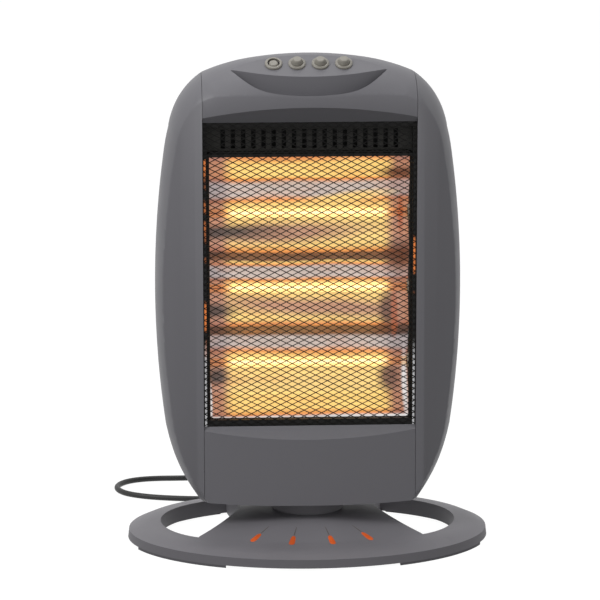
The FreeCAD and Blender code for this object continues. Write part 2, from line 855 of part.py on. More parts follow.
switches = []
bezels = []
for across in button_places:
    half = s.switch_width / 2
    housing = Part.makeBox(s.switch_width, s.switch_width, s.switch_depth,
                           V(-half, -half, -s.shell_wall - s.switch_depth))
    housing.Placement = face_place(across)
    well = face_rod(across, s.button_radius + 2 * s.button_gap,
                    -s.shell_wall - s.switch_depth + s.switch_floor, s.shell_wall)
    switches.append(housing.cut(well).cut(top_panel.Shape))
    ring = Part.makeCylinder(s.bezel_radius, s.bezel_height)
    rim = [edge for edge in ring.Edges if abs(edge.BoundBox.ZMin - s.bezel_height) < s.seam_gap]
    ring = ring.makeChamfer(s.bezel_chamfer, [edge for edge in rim if edge.Closed])
    ring.Placement = face_place(across)
    bezels.append(ring.cut(face_rod(across, s.button_radius + s.button_gap, -s.shell_wall, s.button_rise)))
solid("switch_block", Part.makeCompound(switches))
solid("button_bezels", Part.makeCompound(bezels))

skirt = -s.button_skirt
for number, across in enumerate(button_places, start=1):
    button = turned(f"button_{number}", (
        (0, skirt - s.stem_length),
        (s.stem_radius, skirt - s.stem_length),
        (s.stem_radius, skirt),
        (s.button_radius, skirt),
        (s.button_radius, s.button_shoulder),
        (s.button_top_radius, s.button_rise - s.bezel_chamfer),
        (s.button_top_radius - s.bezel_chamfer, s.button_rise),
        (0, s.button_rise),
    ))
    pushed = s.button_travel if number == 1 else 0
    button.Placement = FreeCAD.Placement(on_face(across, s.button_slope, -pushed), face_turn)


# Base: an oval ring with a raised bridge between two side openings

def oval(inset, height):
    curve = Part.Ellipse(V(0, 0, height), s.base_width / 2 - inset, s.base_depth / 2 - inset)
    return Part.Wire(curve.toShape())


def mound(wall, start):
    """The base's outer form, drawn in by a wall, from the ring's rim up to the bridge's crest."""
    middle = V(0, 0, s.crest_height - wall)
    crest = Part.Wire(Part.Circle(middle, V(0, 0, 1), s.crest_radius - wall).toShape())
    return Part.makeLoft([
        oval(wall, start),
        oval(s.rim_inset + wall, s.rim_height - wall / 2),
        oval(s.crown_inset + wall, s.crown_height - wall),
        oval(s.band_width, s.band_height - wall),
        crest,
    ], True, True)


def hole_face(side):
    """The plan of one side opening: the ring's inner edge and the waist of the bridge."""
    front = V(side * s.hole_corner, -s.hole_half_depth, 0)
    rear = V(side * s.hole_corner, s.hole_half_depth, 0)
    outer = V(side * (s.base_width / 2 - s.band_width), 0, 0)
    waist = V(side * s.hole_inner, 0, 0)
    return Part.Face(Part.Wire([arc(front, outer, rear), line(rear, waist), line(waist, front)]))


def hole_prism(side, growth):
    face = hole_face(side)
    if growth:
        face = face.makeOffset2D(growth)
    return face.extrude(V(0, 0, s.crest_height + s.overrun))


relief_turn = FreeCAD.Rotation(V(0, 0, 1), s.relief_angle)
relief_way = relief_turn.multVec(V(1, 0, 0))
relief_y = s.base_depth / 2 * math.sqrt(1 - (s.relief_offset / (s.base_width / 2)) ** 2)
relief_start = V(-s.relief_offset, relief_y, s.relief_height) - relief_way * s.relief_root
relief_cone = Part.makeCone(s.relief_radius, s.relief_tip_radius, s.relief_length + s.relief_root,
                            relief_start, relief_way)
relief_tip = relief_start + relief_way * (s.relief_length + s.relief_root)

room = mound(s.base_wall, s.foot_height)
for side in (-1, 1):
    room = room.cut(hole_prism(side, s.base_wall))
base_shape = mound(0, s.foot_height).cut(room)
plate_top = s.foot_height + s.plate_thickness
boss_x = s.plate_width / 2 - s.boss_inset
boss_y = s.plate_depth / 2 - s.boss_inset
for x in (-boss_x, boss_x):
    for y in (-boss_y, boss_y):
        boss = Part.makeCylinder(s.boss_radius, s.crest_height, V(x, y, plate_top))
        base_shape = base_shape.fuse(boss.common(mound(0, s.foot_height)))
for side in (-1, 1):
    base_shape = base_shape.cut(hole_prism(side, 0))
base_shape = base_shape.cut(Part.makeCylinder(s.bush_radius, s.crest_height + s.overrun))
solid("base_ring", base_shape.cut(relief_cone))

base_plate = piece("PartDesign::Body", "base_plate")
plate_sketch = sketch_on(base_plate, "XY_Plane")
rectangle(plate_sketch, -s.plate_width / 2, s.plate_width / 2, -s.plate_depth / 2, s.plate_depth / 2)
pad(base_plate, plate_sketch, s.plate_thickness)
place(base_plate, 0, 0, s.foot_height)


def foot_pads():
    """Four curved rubber pads under the ring, two in front and two behind."""
    band = Part.Face(oval(0, 0)).cut(Part.Face(oval(s.pad_width, 0))).extrude(V(0, 0, s.foot_height))
    pads = []
    for side in (-1, 1):
        low = min(side * s.pad_start, side * s.pad_end)
        for y_low in (-s.base_depth, s.pad_setback):
            corner = block(low, low + s.pad_end - s.pad_start, y_low, y_low + s.base_depth - s.pad_setback,
                           -s.overrun, s.overrun)
            pads.append(band.common(corner))
    return Part.makeCompound([pad_solid for group in pads for pad_solid in group.Solids])


solid("base_feet", foot_pads())


# Swivel: collar and bush on the base, post and drive arm on the head, motor and crank below

turned("swivel_collar", (
    (s.bush_radius, s.crest_height),
    (s.collar_radius, s.crest_height),
    (s.collar_radius, s.collar_top),
    (s.bush_radius, s.collar_top),
))
bush_bore = s.post_radius + s.run_fit
turned("swivel_bush", (
    (bush_bore, s.bush_foot),
    (s.bush_radius, s.bush_foot),
    (s.bush_radius, s.collar_top),
    (s.bush_flange_radius, s.collar_top),
    (s.bush_flange_radius, s.collar_top + s.bush_flange),
    (bush_bore, s.collar_top + s.bush_flange),
))
turned("swivel_post", (
    (s.post_bore, s.post_foot),
    (s.post_radius, s.post_foot),
    (s.post_radius, post_seat),
    (s.post_flange_radius, post_seat),
    (s.post_flange_radius, post_top),
    (s.post_bore, post_top),
))
arm_low = s.post_foot - s.arm_thickness
hub = rod(s.arm_radius, arm_low, s.post_foot, "z")
beam = box(-s.arm_width / 2, s.arm_width / 2, 0, s.arm_length, arm_low, s.post_foot)
slot_half = s.pin_radius + s.slot_play
arm_slot = box(-slot_half, slot_half, s.slot_start, s.slot_end, arm_low - s.overrun, s.post_foot + s.overrun)
cut(fuse([hub, beam]), arm_slot, "drive_arm")

motor_top = plate_top + s.motor_height
crank_low = motor_top + s.crank_lift
crank_top = crank_low + s.crank_thickness
motor_can = rod(s.motor_radius, plate_top, motor_top, "z", y=s.motor_offset)
motor_shaft = rod(s.shaft_radius, motor_top, crank_top, "z", y=s.motor_offset)
fuse([motor_can, motor_shaft], "swing_motor")
crank = rod(s.crank_throw + s.crank_rim, crank_low, crank_top, "z", y=s.motor_offset)
crank_bore = rod(s.shaft_radius + s.run_fit, crank_low, crank_top, "z", y=s.motor_offset)
crank_pin = rod(s.pin_radius, crank_top, crank_top + s.pin_height, "z", y=s.motor_offset + s.crank_throw)
fuse([cut(crank, crank_bore), crank_pin], "swing_crank")


# Mains lead: strain relief, the run on the floor, the tied coil and the plug

def biarc(start, start_way, end, end_way):
    """Two arcs that meet smoothly, from one point and direction to another."""
    across = end - start
    ways = start_way + end_way
    twist = 2 * (1 - start_way.dot(end_way))
    lean = across.dot(ways)
    reach = (math.sqrt(lean ** 2 + twist * across.dot(across)) - lean) / twist
    middle = (start + start_way * reach + end - end_way * reach) * 0.5
    return [half_arc(start, start_way, middle), half_arc(end, -end_way, middle)]


def half_arc(start, way, end):
    """The arc that leaves a point in a direction and ends at another point."""
    chord = end - start
    along = chord * (1 / chord.Length)
    bulge = way - along * way.dot(along)
    angle = way.getAngle(along)
    apex = start + chord * 0.5 + bulge * (chord.Length / 2 * math.tan(angle / 2) / bulge.Length)
    return arc(start, apex, end)


def coil_point(angle):
    """A point of the coil: spiralling in on the floor, up a layer, and out again on top."""
    whole = s.coil_turns * 2 * math.pi
    turns_in = min(angle, whole - angle) / (2 * math.pi)
    radius = s.coil_radius - s.coil_pitch * turns_in
    climb = min(max((angle - whole / 2) / math.pi + 0.5, 0), 1)
    lift = s.coil_pitch * (3 - 2 * climb) * climb ** 2
    heading = math.pi / 2 - angle
    return V(radius * math.cos(heading), s.coil_offset + radius * math.sin(heading), s.cord_radius + lift)


def coil_way(angle):
    nudge = 2 * math.pi / COIL_SAMPLES
    whole = s.coil_turns * 2 * math.pi
    way = coil_point(min(angle + nudge, whole)) - coil_point(max(angle - nudge, 0))
    if angle in (0, whole):
        way = V(1, 0, 0)
    return way.normalize()


def coil_wire():
    steps = int(s.coil_turns * COIL_POINTS)
    angles = [step * 2 * math.pi / COIL_POINTS for step in range(steps)] + [s.coil_turns * 2 * math.pi]
    edges = []
    for low, high in zip(angles, angles[1:]):
        edges += biarc(coil_point(low), coil_way(low), coil_point(high), coil_way(high))
    return Part.Wire(Part.__sortEdges__(edges))


def coil_least_gap():
    """The least clear distance between turns, measured on points along the coil."""
    count = int(s.coil_turns * COIL_SAMPLES)
    points = [coil_point(step * 2 * math.pi / COIL_SAMPLES) for step in range(count + 1)]
    gaps = [
        (points[first] - points[second]).Length
        for first in range(count + 1)
        for second in range(first + COIL_SAMPLES // 2, count + 1)
    ]
    return min(gaps) - 2 * s.cord_radius


def tube(path, radius):
    start = path.OrderedEdges[0]
    way = start.tangentAt(start.FirstParameter)
    ring = Part.Wire(Part.Circle(path.OrderedVertexes[0].Point, way, radius).toShape())
    return path.makePipeShell([ring], True, False)


def route_wire(points, name):
    """Straight runs joined by tangent arcs as large as the runs allow."""
    edges = []
    radii = []
    last = points[0]
    for before, corner, after in zip(points, points[1:], points[2:]):
        way_in = (corner - before).normalize()
        way_out = (after - corner).normalize()
        turn = way_in.getAngle(way_out)
        trim = BEND_SHARE * min((corner - before).Length, (after - corner).Length)
        radius = trim / math.tan(turn / 2)
        radii.append(round(radius))
        enter = corner - way_in * trim
        leave = corner + way_out * trim
        to_centre = (way_out - way_in).normalize()
        apex = corner + to_centre * (radius / math.cos(turn / 2) - radius)
        edges += [line(last, enter), arc(enter, apex, leave)]
        last = leave
    edges.append(line(last, points[-1]))
    print(name, "radii", radii)
    return Part.Wire(edges)


def cord_tube(label, points):
    path = route_wire(points, label)
    shape = tube(path, s.cord_radius)
    expected = math.pi * s.cord_radius ** 2 * path.Length
    print(label, "length", round(path.Length, 1), "volume share", round(shape.Volume / expected, 4))
    return solid(label, shape)


solid("strain_relief", relief_cone)
floor_route = [V(x, y, s.cord_radius) for x, y in CORD_ROUTE]
cord_start = relief_tip + relief_way * s.relief_gap
cord_tube("cord_run", [cord_start, *floor_route, coil_point(0)])
coil_path = coil_wire()
print("cord_coil length", round(coil_path.Length, 1), "least gap", round(coil_least_gap(), 2))
solid("cord_coil", tube(coil_path, s.cord_radius))
tail_points = [V(x, y, z) for x, y, z in TAIL_ROUTE]
cord_tube("cord_tail", [coil_point(s.coil_turns * 2 * math.pi), *tail_points])

plug_start = tail_points[-1] + V(s.plug_gap, 0, 0)
plug_body = Part.makeCone(s.plug_tail_radius, s.plug_radius, s.plug_tail, plug_start, V(1, 0, 0))
plug_front = plug_start + V(s.plug_tail + s.plug_length, 0, 0)
plug_body = plug_body.fuse(Part.makeCylinder(
    s.plug_radius, s.plug_length, plug_start + V(s.plug_tail, 0, 0), V(1, 0, 0)))
solid("mains_plug", plug_body.removeSplitter())
pins = [
    Part.makeCylinder(s.plug_pin_radius, s.plug_pin_length, plug_front + V(0, spread, 0), V(1, 0, 0))
    for spread in (-s.plug_pin_spread, s.plug_pin_spread)
]
solid("plug_pins", Part.makeCompound(pins))


# Check every object, then write one file for each piece

doc.recompute()
for thing in doc.Objects:
    if "Invalid" in thing.State or "Error" in thing.State:
        raise ValueError(f"{thing.Label} failed: {thing.State}")
for thing in pieces:
    if thing.Shape.isNull() or not thing.Shape.isValid():
        raise ValueError(f"{thing.Label} has no valid shape")
os.makedirs("parts", exist_ok=True)
for thing in pieces:
    thing.Shape.exportStep(f"parts/{thing.Label}.step")
print(len(pieces), "pieces")
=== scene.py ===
import json
import math

import bmesh
import bpy
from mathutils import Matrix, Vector
from mathutils.bvhtree import BVHTree

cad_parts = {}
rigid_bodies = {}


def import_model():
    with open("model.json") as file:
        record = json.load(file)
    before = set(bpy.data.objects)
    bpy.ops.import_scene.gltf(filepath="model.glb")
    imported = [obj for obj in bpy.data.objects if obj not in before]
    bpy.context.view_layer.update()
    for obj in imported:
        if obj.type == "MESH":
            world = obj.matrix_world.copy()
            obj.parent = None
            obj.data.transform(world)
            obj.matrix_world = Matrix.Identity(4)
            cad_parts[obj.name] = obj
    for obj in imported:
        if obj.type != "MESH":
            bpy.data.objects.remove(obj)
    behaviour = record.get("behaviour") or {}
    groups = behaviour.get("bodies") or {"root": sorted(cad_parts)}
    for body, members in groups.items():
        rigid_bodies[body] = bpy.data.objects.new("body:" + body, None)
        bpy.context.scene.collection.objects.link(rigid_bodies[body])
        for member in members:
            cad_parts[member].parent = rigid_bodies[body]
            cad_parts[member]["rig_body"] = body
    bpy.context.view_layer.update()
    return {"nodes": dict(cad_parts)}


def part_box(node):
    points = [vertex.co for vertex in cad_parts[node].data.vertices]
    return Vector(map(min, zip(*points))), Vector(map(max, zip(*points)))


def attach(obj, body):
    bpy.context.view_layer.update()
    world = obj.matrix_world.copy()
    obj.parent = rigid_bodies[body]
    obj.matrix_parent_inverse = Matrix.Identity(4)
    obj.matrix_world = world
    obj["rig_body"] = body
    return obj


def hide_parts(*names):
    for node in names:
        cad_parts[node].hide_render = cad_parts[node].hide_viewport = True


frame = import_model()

# Upright infrared heater: three quartz lamps in a swivelling head on an oval ring base.
# Lengths are in millimetres and turned into Blender's metres by MM.
# BEYOND is further out than any piece: rays start there, and blocks that cut reach it.

MM = 0.001
MERGE_GAP = 0.001
CREASE = 30.0
BEYOND = 800.0
QUARTER_TURN = math.pi / 2
FULL_TURN = 2 * math.pi

scene = bpy.context.scene
scene.view_settings.view_transform = "Standard"


def metres(*point):
    """A point given in millimetres, in metres."""
    return Vector(point) * MM


def linear(*levels):
    """A colour given as 0 to 255 screen levels, in the linear light that shaders use."""
    shares = [level / 255 for level in levels]
    light = [share / 12.92 if share <= 0.04045 else ((share + 0.055) / 1.055) ** 2.4 for share in shares]
    return (*light, 1.0)


def eased(share):
    """A share held between nothing and one, easing in and out."""
    held = min(max(share, 0.0), 1.0)
    return held ** 2 * (3 - 2 * held)


def linked(name, data):
    """A new object in the scene."""
    made = bpy.data.objects.new(name, data)
    scene.collection.objects.link(made)
    return made


def aimed(place, aim):
    """The turn that points a camera or a lamp from its place at its aim."""
    return (aim - place).to_track_quat("-Z", "Y").to_euler()


# Camera

CAMERA_PLACE = metres(-174, -3326, 957)
CAMERA_AIM = metres(0, 0, 250)
CAMERA_LENS = 204.0
CAMERA_SENSOR = 36.0
CAMERA_SHIFT = (-0.0125, -0.0083)
CAMERA_RANGE = 100000.0

camera = linked("camera", bpy.data.cameras.new("camera"))
camera.data.lens = CAMERA_LENS
camera.data.sensor_width = CAMERA_SENSOR
camera.data.shift_x, camera.data.shift_y = CAMERA_SHIFT
camera.data.clip_end = CAMERA_RANGE * MM
camera.location = CAMERA_PLACE
camera.rotation_euler = aimed(CAMERA_PLACE, CAMERA_AIM)
scene.camera = camera


# Nodes of shaders and of geometry


def feed(tree, node, inputs):
    """Give a node's inputs their values, or links from other nodes' sockets."""
    for label, value in inputs.items():
        if isinstance(value, bpy.types.NodeSocket):
            tree.links.new(value, node.inputs[label])
        else:
            node.inputs[label].default_value = value


def add(tree, kind, inputs=None, **settings):
    """A new node with its settings and its inputs."""
    node = tree.nodes.new(kind)
    for name, value in settings.items():
        setattr(node, name, value)
    feed(tree, node, inputs or {})
    return node


def reckon(tree, operation, *values):
    """A Math node on values or sockets."""
    return add(tree, "ShaderNodeMath", dict(enumerate(values)), operation=operation).outputs[0]


def vector_of(tree, *values):
    """A vector of three values or sockets."""
    return add(tree, "ShaderNodeCombineXYZ", dict(enumerate(values))).outputs[0]


def split(tree, vector):
    """A vector's parts, by their letters."""
    return add(tree, "ShaderNodeSeparateXYZ", {0: vector}).outputs


# Shader building

NOISE_DETAIL = 3.0
NOISE_ROUGHNESS = 0.55
NOISE_LOW = 0.3
NOISE_HIGH = 0.7


def material(name):
    """A new material, with its tree, its shader and its piece's own coordinates."""
    made = bpy.data.materials.new(name)
    made.use_nodes = True
    tree = made.node_tree
    spot = add(tree, "ShaderNodeTexCoord").outputs["Object"]
    return made, tree, tree.nodes["Principled BSDF"], spot


def noise(tree, spot, scale, detail=NOISE_DETAIL):
    """Procedural noise over coordinates, in spots for each of their units."""
    node = add(tree, "ShaderNodeTexNoise", {
        "Vector": spot, "Scale": scale, "Detail": detail, "Roughness": NOISE_ROUGHNESS})
    return node.outputs["Fac"]


def spread(tree, value, low, high, start=NOISE_LOW, end=NOISE_HIGH, **settings):
    """A value's run from start to end, as a run from low to high."""
    node = add(tree, "ShaderNodeMapRange", {
        "Value": value, "From Min": start, "From Max": end, "To Min": low, "To Max": high}, **settings)
    return node.outputs["Result"]


def blended(tree, share, under, over):
    """A share of one colour over another, each given as a colour or a socket."""
    return add(tree, "ShaderNodeMix", {0: share, 6: under, 7: over}, data_type="RGBA").outputs[2]


def scaled(colour, factor):
    """A colour made darker or paler."""
    return (*[min(1.0, level * factor) for level in colour[:3]], 1.0)


def bumped(tree, shader, height, depth, relief=None):
    """Relief in a shader's surface, on top of other relief if there is some."""
    node = add(tree, "ShaderNodeBump", {"Distance": depth, "Height": height})
    if relief:
        feed(tree, node, {"Normal": relief})
    feed(tree, shader, {"Normal": node.outputs["Normal"]})
    return node.outputs["Normal"]


# Finishes: screen levels, roughness, cloud share, spots of grain per metre, depth of grain, other inputs

CLOUD_SCALE = 18.0
CLOUD_DETAIL = 5.0
GRAIN_DETAIL = 2.0
GLOSS_SWING = 0.05
METAL = {"Metallic": 1.0}
FINISHES = {
    "casing_grey": ((114, 113, 118), 0.5, 0.03, 1400.0, 0.035),
    "base_grey": ((124, 122, 127), 0.52, 0.03, 1400.0, 0.035),
    # The rim's grey is the base's grey made darker: painted shade on the rim's outer side.
    "rim_shade_grey": ((111, 109, 114), 0.6, 0.03, 1400.0, 0.05),
    "foot_rubber": ((96, 95, 99), 0.75, 0.05, 900.0, 0.05),
    "guard_black": ((15, 14, 13), 0.5, 0.2, 2400.0, 0.02, {"Specular IOR Level": 0.2}),
    "vent_black": ((46, 45, 42), 0.55, 0.15, 2400.0, 0.02, {"Specular IOR Level": 0.3}),
    "plate_black": ((30, 30, 31), 0.55, 0.1, 1200.0, 0.05),
    "button_grey": ((150, 146, 137), 0.42, 0.04, 2600.0, 0.012),
    # This black is the switches' own colour, and in the screws' sockets it is painted shade.
    "switch_black": ((24, 24, 25), 0.5, 0.1, 1600.0, 0.03),
    "ceramic_white": ((214, 206, 192), 0.6, 0.05, 1300.0, 0.03),
    "bush_white": ((205, 204, 198), 0.35, 0.03, 1500.0, 0.01),
    "zinc_steel": ((168, 170, 172), 0.36, 0.12, 700.0, 0.02, METAL),
    "motor_metal": ((150, 150, 148), 0.42, 0.12, 900.0, 0.03, METAL),
    "pin_brass": ((196, 178, 128), 0.25, 0.06, 1500.0, 0.008, METAL),
    "cord_black": ((27, 27, 27), 0.48, 0.12, 2200.0, 0.02),
    "mark_orange": ((232, 100, 38), 0.4, 0.25, 1800.0, 0.01),
    # The grooves' grey is painted shade: the grooves are flat strips on the surface.
    "groove_shade_grey": ((96, 88, 86), 0.6, 0.06, 1800.0, 0.02),
}


def coating(name, levels, rough, cloud, grain_scale, grain_depth, others=None):
    """A solid finish: clouded colour, uneven gloss and a fine grain in the surface."""
    made, tree, shader, spot = material(name)
    colour = linear(*levels)
    clouds = noise(tree, spot, CLOUD_SCALE, CLOUD_DETAIL)
    feed(tree, shader, {
        "Base Color": blended(
            tree, spread(tree, clouds, 0.0, 1.0), scaled(colour, 1 - cloud), scaled(colour, 1 + cloud)),
        "Roughness": spread(tree, clouds, rough - GLOSS_SWING, rough + GLOSS_SWING),
        **(others or {}),
    })
    bumped(tree, shader, noise(tree, spot, grain_scale, GRAIN_DETAIL), grain_depth * MM)
    return made


coats = {name: coating(name, *values) for name, values in FINISHES.items()}


# Pieces


def placed(name, data, body, slot, *nodes):
    """Put a finished mesh or curve in the scene, on its body, standing for CAD nodes that it hides; its
    slot is not used.
    """
    made = linked(name, data)
    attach(made, body)
    if nodes:
        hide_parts(*nodes)
    return made


def plain_mesh(name, holder):
    """An object's finished form as a plain mesh, with the object gone."""
    view = bpy.context.evaluated_depsgraph_get()
    mesh = bpy.data.meshes.new_from_object(holder.evaluated_get(view))
    mesh.name = name
    holder.modifiers.clear()
    bpy.data.objects.remove(holder)
    return mesh


def smoothed(mesh, crease=CREASE):
    """A mesh shaded smooth, with edges past the crease angle kept crisp."""
    mesh.polygons.foreach_set("use_smooth", [True] * len(mesh.polygons))
    mesh.set_sharp_from_angle(angle=math.radians(crease))
    return mesh


def merged_copy(node):
    """The CAD node's triangles as one closed mesh."""
    form = bmesh.new()
    form.from_mesh(frame["nodes"][node].data)
    bmesh.ops.remove_doubles(form, verts=form.verts, dist=MERGE_GAP * MM)
    mesh = bpy.data.meshes.new(node + "_finished")
    form.to_mesh(mesh)
    form.free()
    if "custom_normal" in mesh.attributes:
        mesh.attributes.remove(mesh.attributes["custom_normal"])
    return mesh


def surface_of(node):
    """A CAD node's surface, for casting rays at it."""
    mesh = frame["nodes"][node].data
    return BVHTree.FromPolygons(
        [vertex.co for vertex in mesh.vertices], [face.vertices for face in mesh.polygons])


def height_on(surface, x, y):
    """The height in millimetres of a surface seen from above, or None beside it."""
    place = surface.ray_cast(metres(x, y, BEYOND), Vector((0, 0, -1)))[0]
    return place.z / MM if place else None


def strips(name, rows, coat):
    """A smooth sheet through rows of points."""
    wide = len(rows[0])
    faces = [(i, i + 1, i + 1 + wide, i + wide)
             for row in range(len(rows) - 1) for i in range(row * wide, row * wide + wide - 1)]
    mesh = bpy.data.meshes.new(name)
    mesh.from_pydata([metres(*place) for row in rows for place in row], [], faces)
    mesh.materials.append(coat)
    return smoothed(mesh)


def bar(name, rows):
    """A closed block through rows of corners, with all its faces looking outwards."""
    wide = len(rows[0])
    last = (len(rows) - 1) * wide
    sides = [(start + i, start + (i + 1) % wide, start + wide + (i + 1) % wide, start + wide + i)
             for start in range(0, last, wide) for i in range(wide)]
    ends = [tuple(range(wide)), tuple(range(last, last + wide))]
    mesh = bpy.data.meshes.new(name)
    mesh.from_pydata([metres(*place) for row in rows for place in row], [], sides + ends)
    form = bmesh.new()
    form.from_mesh(mesh)
    bmesh.ops.recalc_face_normals(form, faces=form.faces)
    form.to_mesh(mesh)
    form.free()
    return mesh


def path_curve(name, kind, points, radius, roundness):
    """A round bar along a path, as a curve and its line of points."""
    curve = bpy.data.curves.new(name, "CURVE")
    curve.dimensions = "3D"
    curve.bevel_depth = radius * MM
    curve.bevel_resolution = roundness
    curve.use_fill_caps = True
    line = curve.splines.new(kind)
    line.points.add(len(points) - 1)
    for point, place in zip(line.points, points):
        point.co = (*metres(*place), 1.0)
    return curve, line


def cut(mesh, block):
    """What is left of a mesh without a block."""
    body = linked("cut_body", mesh)
    tool = linked("cut_tool", block)
    trim = body.modifiers.new("trim", "BOOLEAN")
    trim.operation = "DIFFERENCE"
    trim.solver = "EXACT"
    trim.object = tool
    left = plain_mesh(mesh.name, body)
    bpy.data.objects.remove(tool)
    return left


def dressed(node, slot, crease=CREASE, blocks=(), shape=None):
    """A smooth-shaded copy of a CAD node that stands for it, less some blocks and reshaped."""
    mesh = merged_copy(node)
    for block in blocks:
        mesh = cut(mesh, block)
    if shape:
        mesh = shape(mesh)
    smoothed(mesh, crease)
    mesh.materials.clear()
    mesh.materials.append(coats[slot])
    return placed(node + "_finished", mesh, frame["nodes"][node]["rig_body"], slot, node)


def painted(node, coat):
    """A CAD node that stays as it is and takes a finish."""
    mesh = frame["nodes"][node].data
    mesh.materials.clear()
    mesh.materials.append(coat)


# Casing edges: the lower edge drawn up and the shoulders drawn down, softly towards the sides

SOLE_LEVEL = 43.0
SOLE_REACH = 100.0
SOLE_HALF = 105.5
SOLE_RISE = 4.8
SHOULDER_START = 58.0
SHOULDER_END = 130.0
SHOULDER_DROP = 7.5
SHOULDER_LOW = 402.0
SHOULDER_SPAN = 44.0
SEAM_HALF = 105.0
BROW_CLEAR = 453.0
BROW_SPAN = 24.0


def rounded_casing(mesh):
    """A piece of the casing with its edges softened, and the brow below the control face left straight."""
    for vertex in mesh.vertices:
        x, z = abs(vertex.co.x) / MM, vertex.co.z / MM
        sole = min(max((SOLE_REACH - z) / (SOLE_REACH - SOLE_LEVEL), 0.0), 1.0)
        rise = SOLE_RISE * sole ** 2 * (x / SOLE_HALF) ** 2
        shoulder = max((x - SHOULDER_START) / (SHOULDER_END - SHOULDER_START), 0.0)
        beside = eased((x - SEAM_HALF) / (SHOULDER_END - SEAM_HALF))
        low = BROW_CLEAR + (SHOULDER_LOW - BROW_CLEAR) * beside
        span = BROW_SPAN + (SHOULDER_SPAN - BROW_SPAN) * beside
        drop = SHOULDER_DROP * shoulder ** 2 * eased((z - low) / span)
        vertex.co.z += (rise - drop) * MM
    return mesh


# Swivel rings: the collar and the bush's flange, slimmer than in the solid

COLLAR_BORE = 30.0
COLLAR_SLACK = 0.2
COLLAR_SHARE = 0.43


def drawn_in(mesh):
    """A ring drawn in towards the bush's bore."""
    for vertex in mesh.vertices:
        radius = math.hypot(vertex.co.x, vertex.co.y) / MM
        if radius > COLLAR_BORE + COLLAR_SLACK:
            share = (COLLAR_BORE + (radius - COLLAR_BORE) * COLLAR_SHARE) / radius
            vertex.co.x *= share
            vertex.co.y *= share
    return mesh


# Grip pocket: its lip swings out fuller than in the solid

LIP_HALF = 77.0
LIP_REAR = 28.0
LIP_FRONT = 58.4
LIP_BOW_SHARE = 0.25
LIP_POWER = 6
LIP_END_SHARE = 0.995
LIP_STEPS = 48
POCKET_MIDDLE_SHARE = 0.4
FLOOR_PROBES = (-40.0, -50.0)
HIDDEN = 0.12

roof = surface_of("top_panel")
floor_heights = [height_on(roof, 0.0, y) for y in FLOOR_PROBES]
floor_slope = (floor_heights[1] - floor_heights[0]) / (FLOOR_PROBES[1] - FLOOR_PROBES[0])
lip_shares = [LIP_END_SHARE * (2 * step / LIP_STEPS - 1) for step in range(LIP_STEPS + 1)]


def pocket_floor(y):
    """The height of the pocket's sloping floor."""
    return floor_heights[0] + floor_slope * (y - FLOOR_PROBES[0])


def lip_point(share, reach=1.0):
    """A point of the lip's plan, or of a line that stays inside it."""
    fall = LIP_BOW_SHARE * share ** 2 + (1 - LIP_BOW_SHARE) * share ** LIP_POWER
    return LIP_HALF * share, -LIP_REAR - (LIP_FRONT - LIP_REAR) * (1 - fall) * reach


def pocket_row(share):
    """Corners of what the fuller pocket takes away at one place along the lip."""
    x, front = lip_point(share)
    middle = lip_point(share, POCKET_MIDDLE_SHARE)[1]
    low = pocket_floor(middle) + HIDDEN
    return (x, middle, low), (x, front, low), (x, front, BEYOND), (x, middle, BEYOND)


def lip_row(share):
    """Floor and wall of the fuller pocket at one place along the lip."""
    x, front = lip_point(share)
    middle = lip_point(share, POCKET_MIDDLE_SHARE)[1]
    low = pocket_floor(middle)
    top = height_on(roof, x, front - HIDDEN) or low
    return (x, middle, low), (x, front, low), (x, front, max(top - HIDDEN, low))


pocket_block = bar("pocket_block", [pocket_row(share) for share in lip_shares])


# Side openings of the base: reaching further in towards the collar than in the solid

OPENING_FRONT = (112.6, -63.2)
OPENING_BEND = (80.0, -32.0)
OPENING_WAIST = (68.0, 6.0)
OPENING_RADII = (149.0, 97.0)
OPENING_REAR_ANGLE = 57.5
OPENING_END_ANGLE = 40.8
OPENING_INSIDE = (110.0, 0.0)
OPENING_STEPS = 10
BASE_FOOT = 2.5
BASE_SKIN = 2.4

base_top = surface_of("base_ring")


def opening_edge(side):
    """The edge of an opening along the bridge: a bend in front, the waist, and the ring behind."""
    shares = [step / OPENING_STEPS for step in range(OPENING_STEPS + 1)]
    bend = [tuple((1 - share) ** 2 * a + 2 * share * (1 - share) * b + share ** 2 * c
                  for a, b, c in zip(OPENING_FRONT, OPENING_BEND, OPENING_WAIST)) for share in shares]
    swing = OPENING_END_ANGLE - OPENING_REAR_ANGLE
    angles = [math.radians(OPENING_REAR_ANGLE + swing * share) for share in shares]
    ring = [(OPENING_RADII[0] * math.cos(angle), OPENING_RADII[1] * math.sin(angle)) for angle in angles]
    neck = [tuple(a + (b - a) * share for a, b in zip(OPENING_WAIST, ring[0])) for share in shares[1:-1]]
    return [(side * x, y) for x, y in bend + neck + ring]


def opening_wall(side):
    """The wall under the edge, wherever the solid has a top to carry it."""
    rows = []
    for x, y in opening_edge(side):
        top = height_on(base_top, x, y)
        if top and top > BASE_FOOT + BASE_SKIN:
            rows.append(((x, y, BASE_FOOT), (x, y, top - BASE_SKIN)))
    return rows


def opening_block(side):
    """What the opening takes away: all that is inside its edge."""
    outline = [*opening_edge(side), (side * OPENING_INSIDE[0], OPENING_INSIDE[1])]
    return bar("opening_block", [[(x, y, z) for x, y in outline] for z in (-BASE_FOOT, BEYOND)])


# Casing, base and fittings

SHELL_CREASE = 50.0
TOP_CREASE = 36.0
BOTTOM_CREASE = 45.0
RIM_START_SHARE = 0.93
RIM_LEAN = 0.4
BUTTONS = 4

for node, crease, blocks in (
    ("side_shell_left", SHELL_CREASE, ()), ("side_shell_right", SHELL_CREASE, ()),
    ("top_panel", TOP_CREASE, [pocket_block]), ("bottom_panel", BOTTOM_CREASE, ()),
    ("rear_cover", CREASE, ()),
):
    dressed(node, "casing_grey", crease, blocks, rounded_casing)
grip_wall = strips("grip_wall", [lip_row(share) for share in lip_shares], coats["casing_grey"])
placed("grip_wall", rounded_casing(grip_wall), "head", "casing_grey")

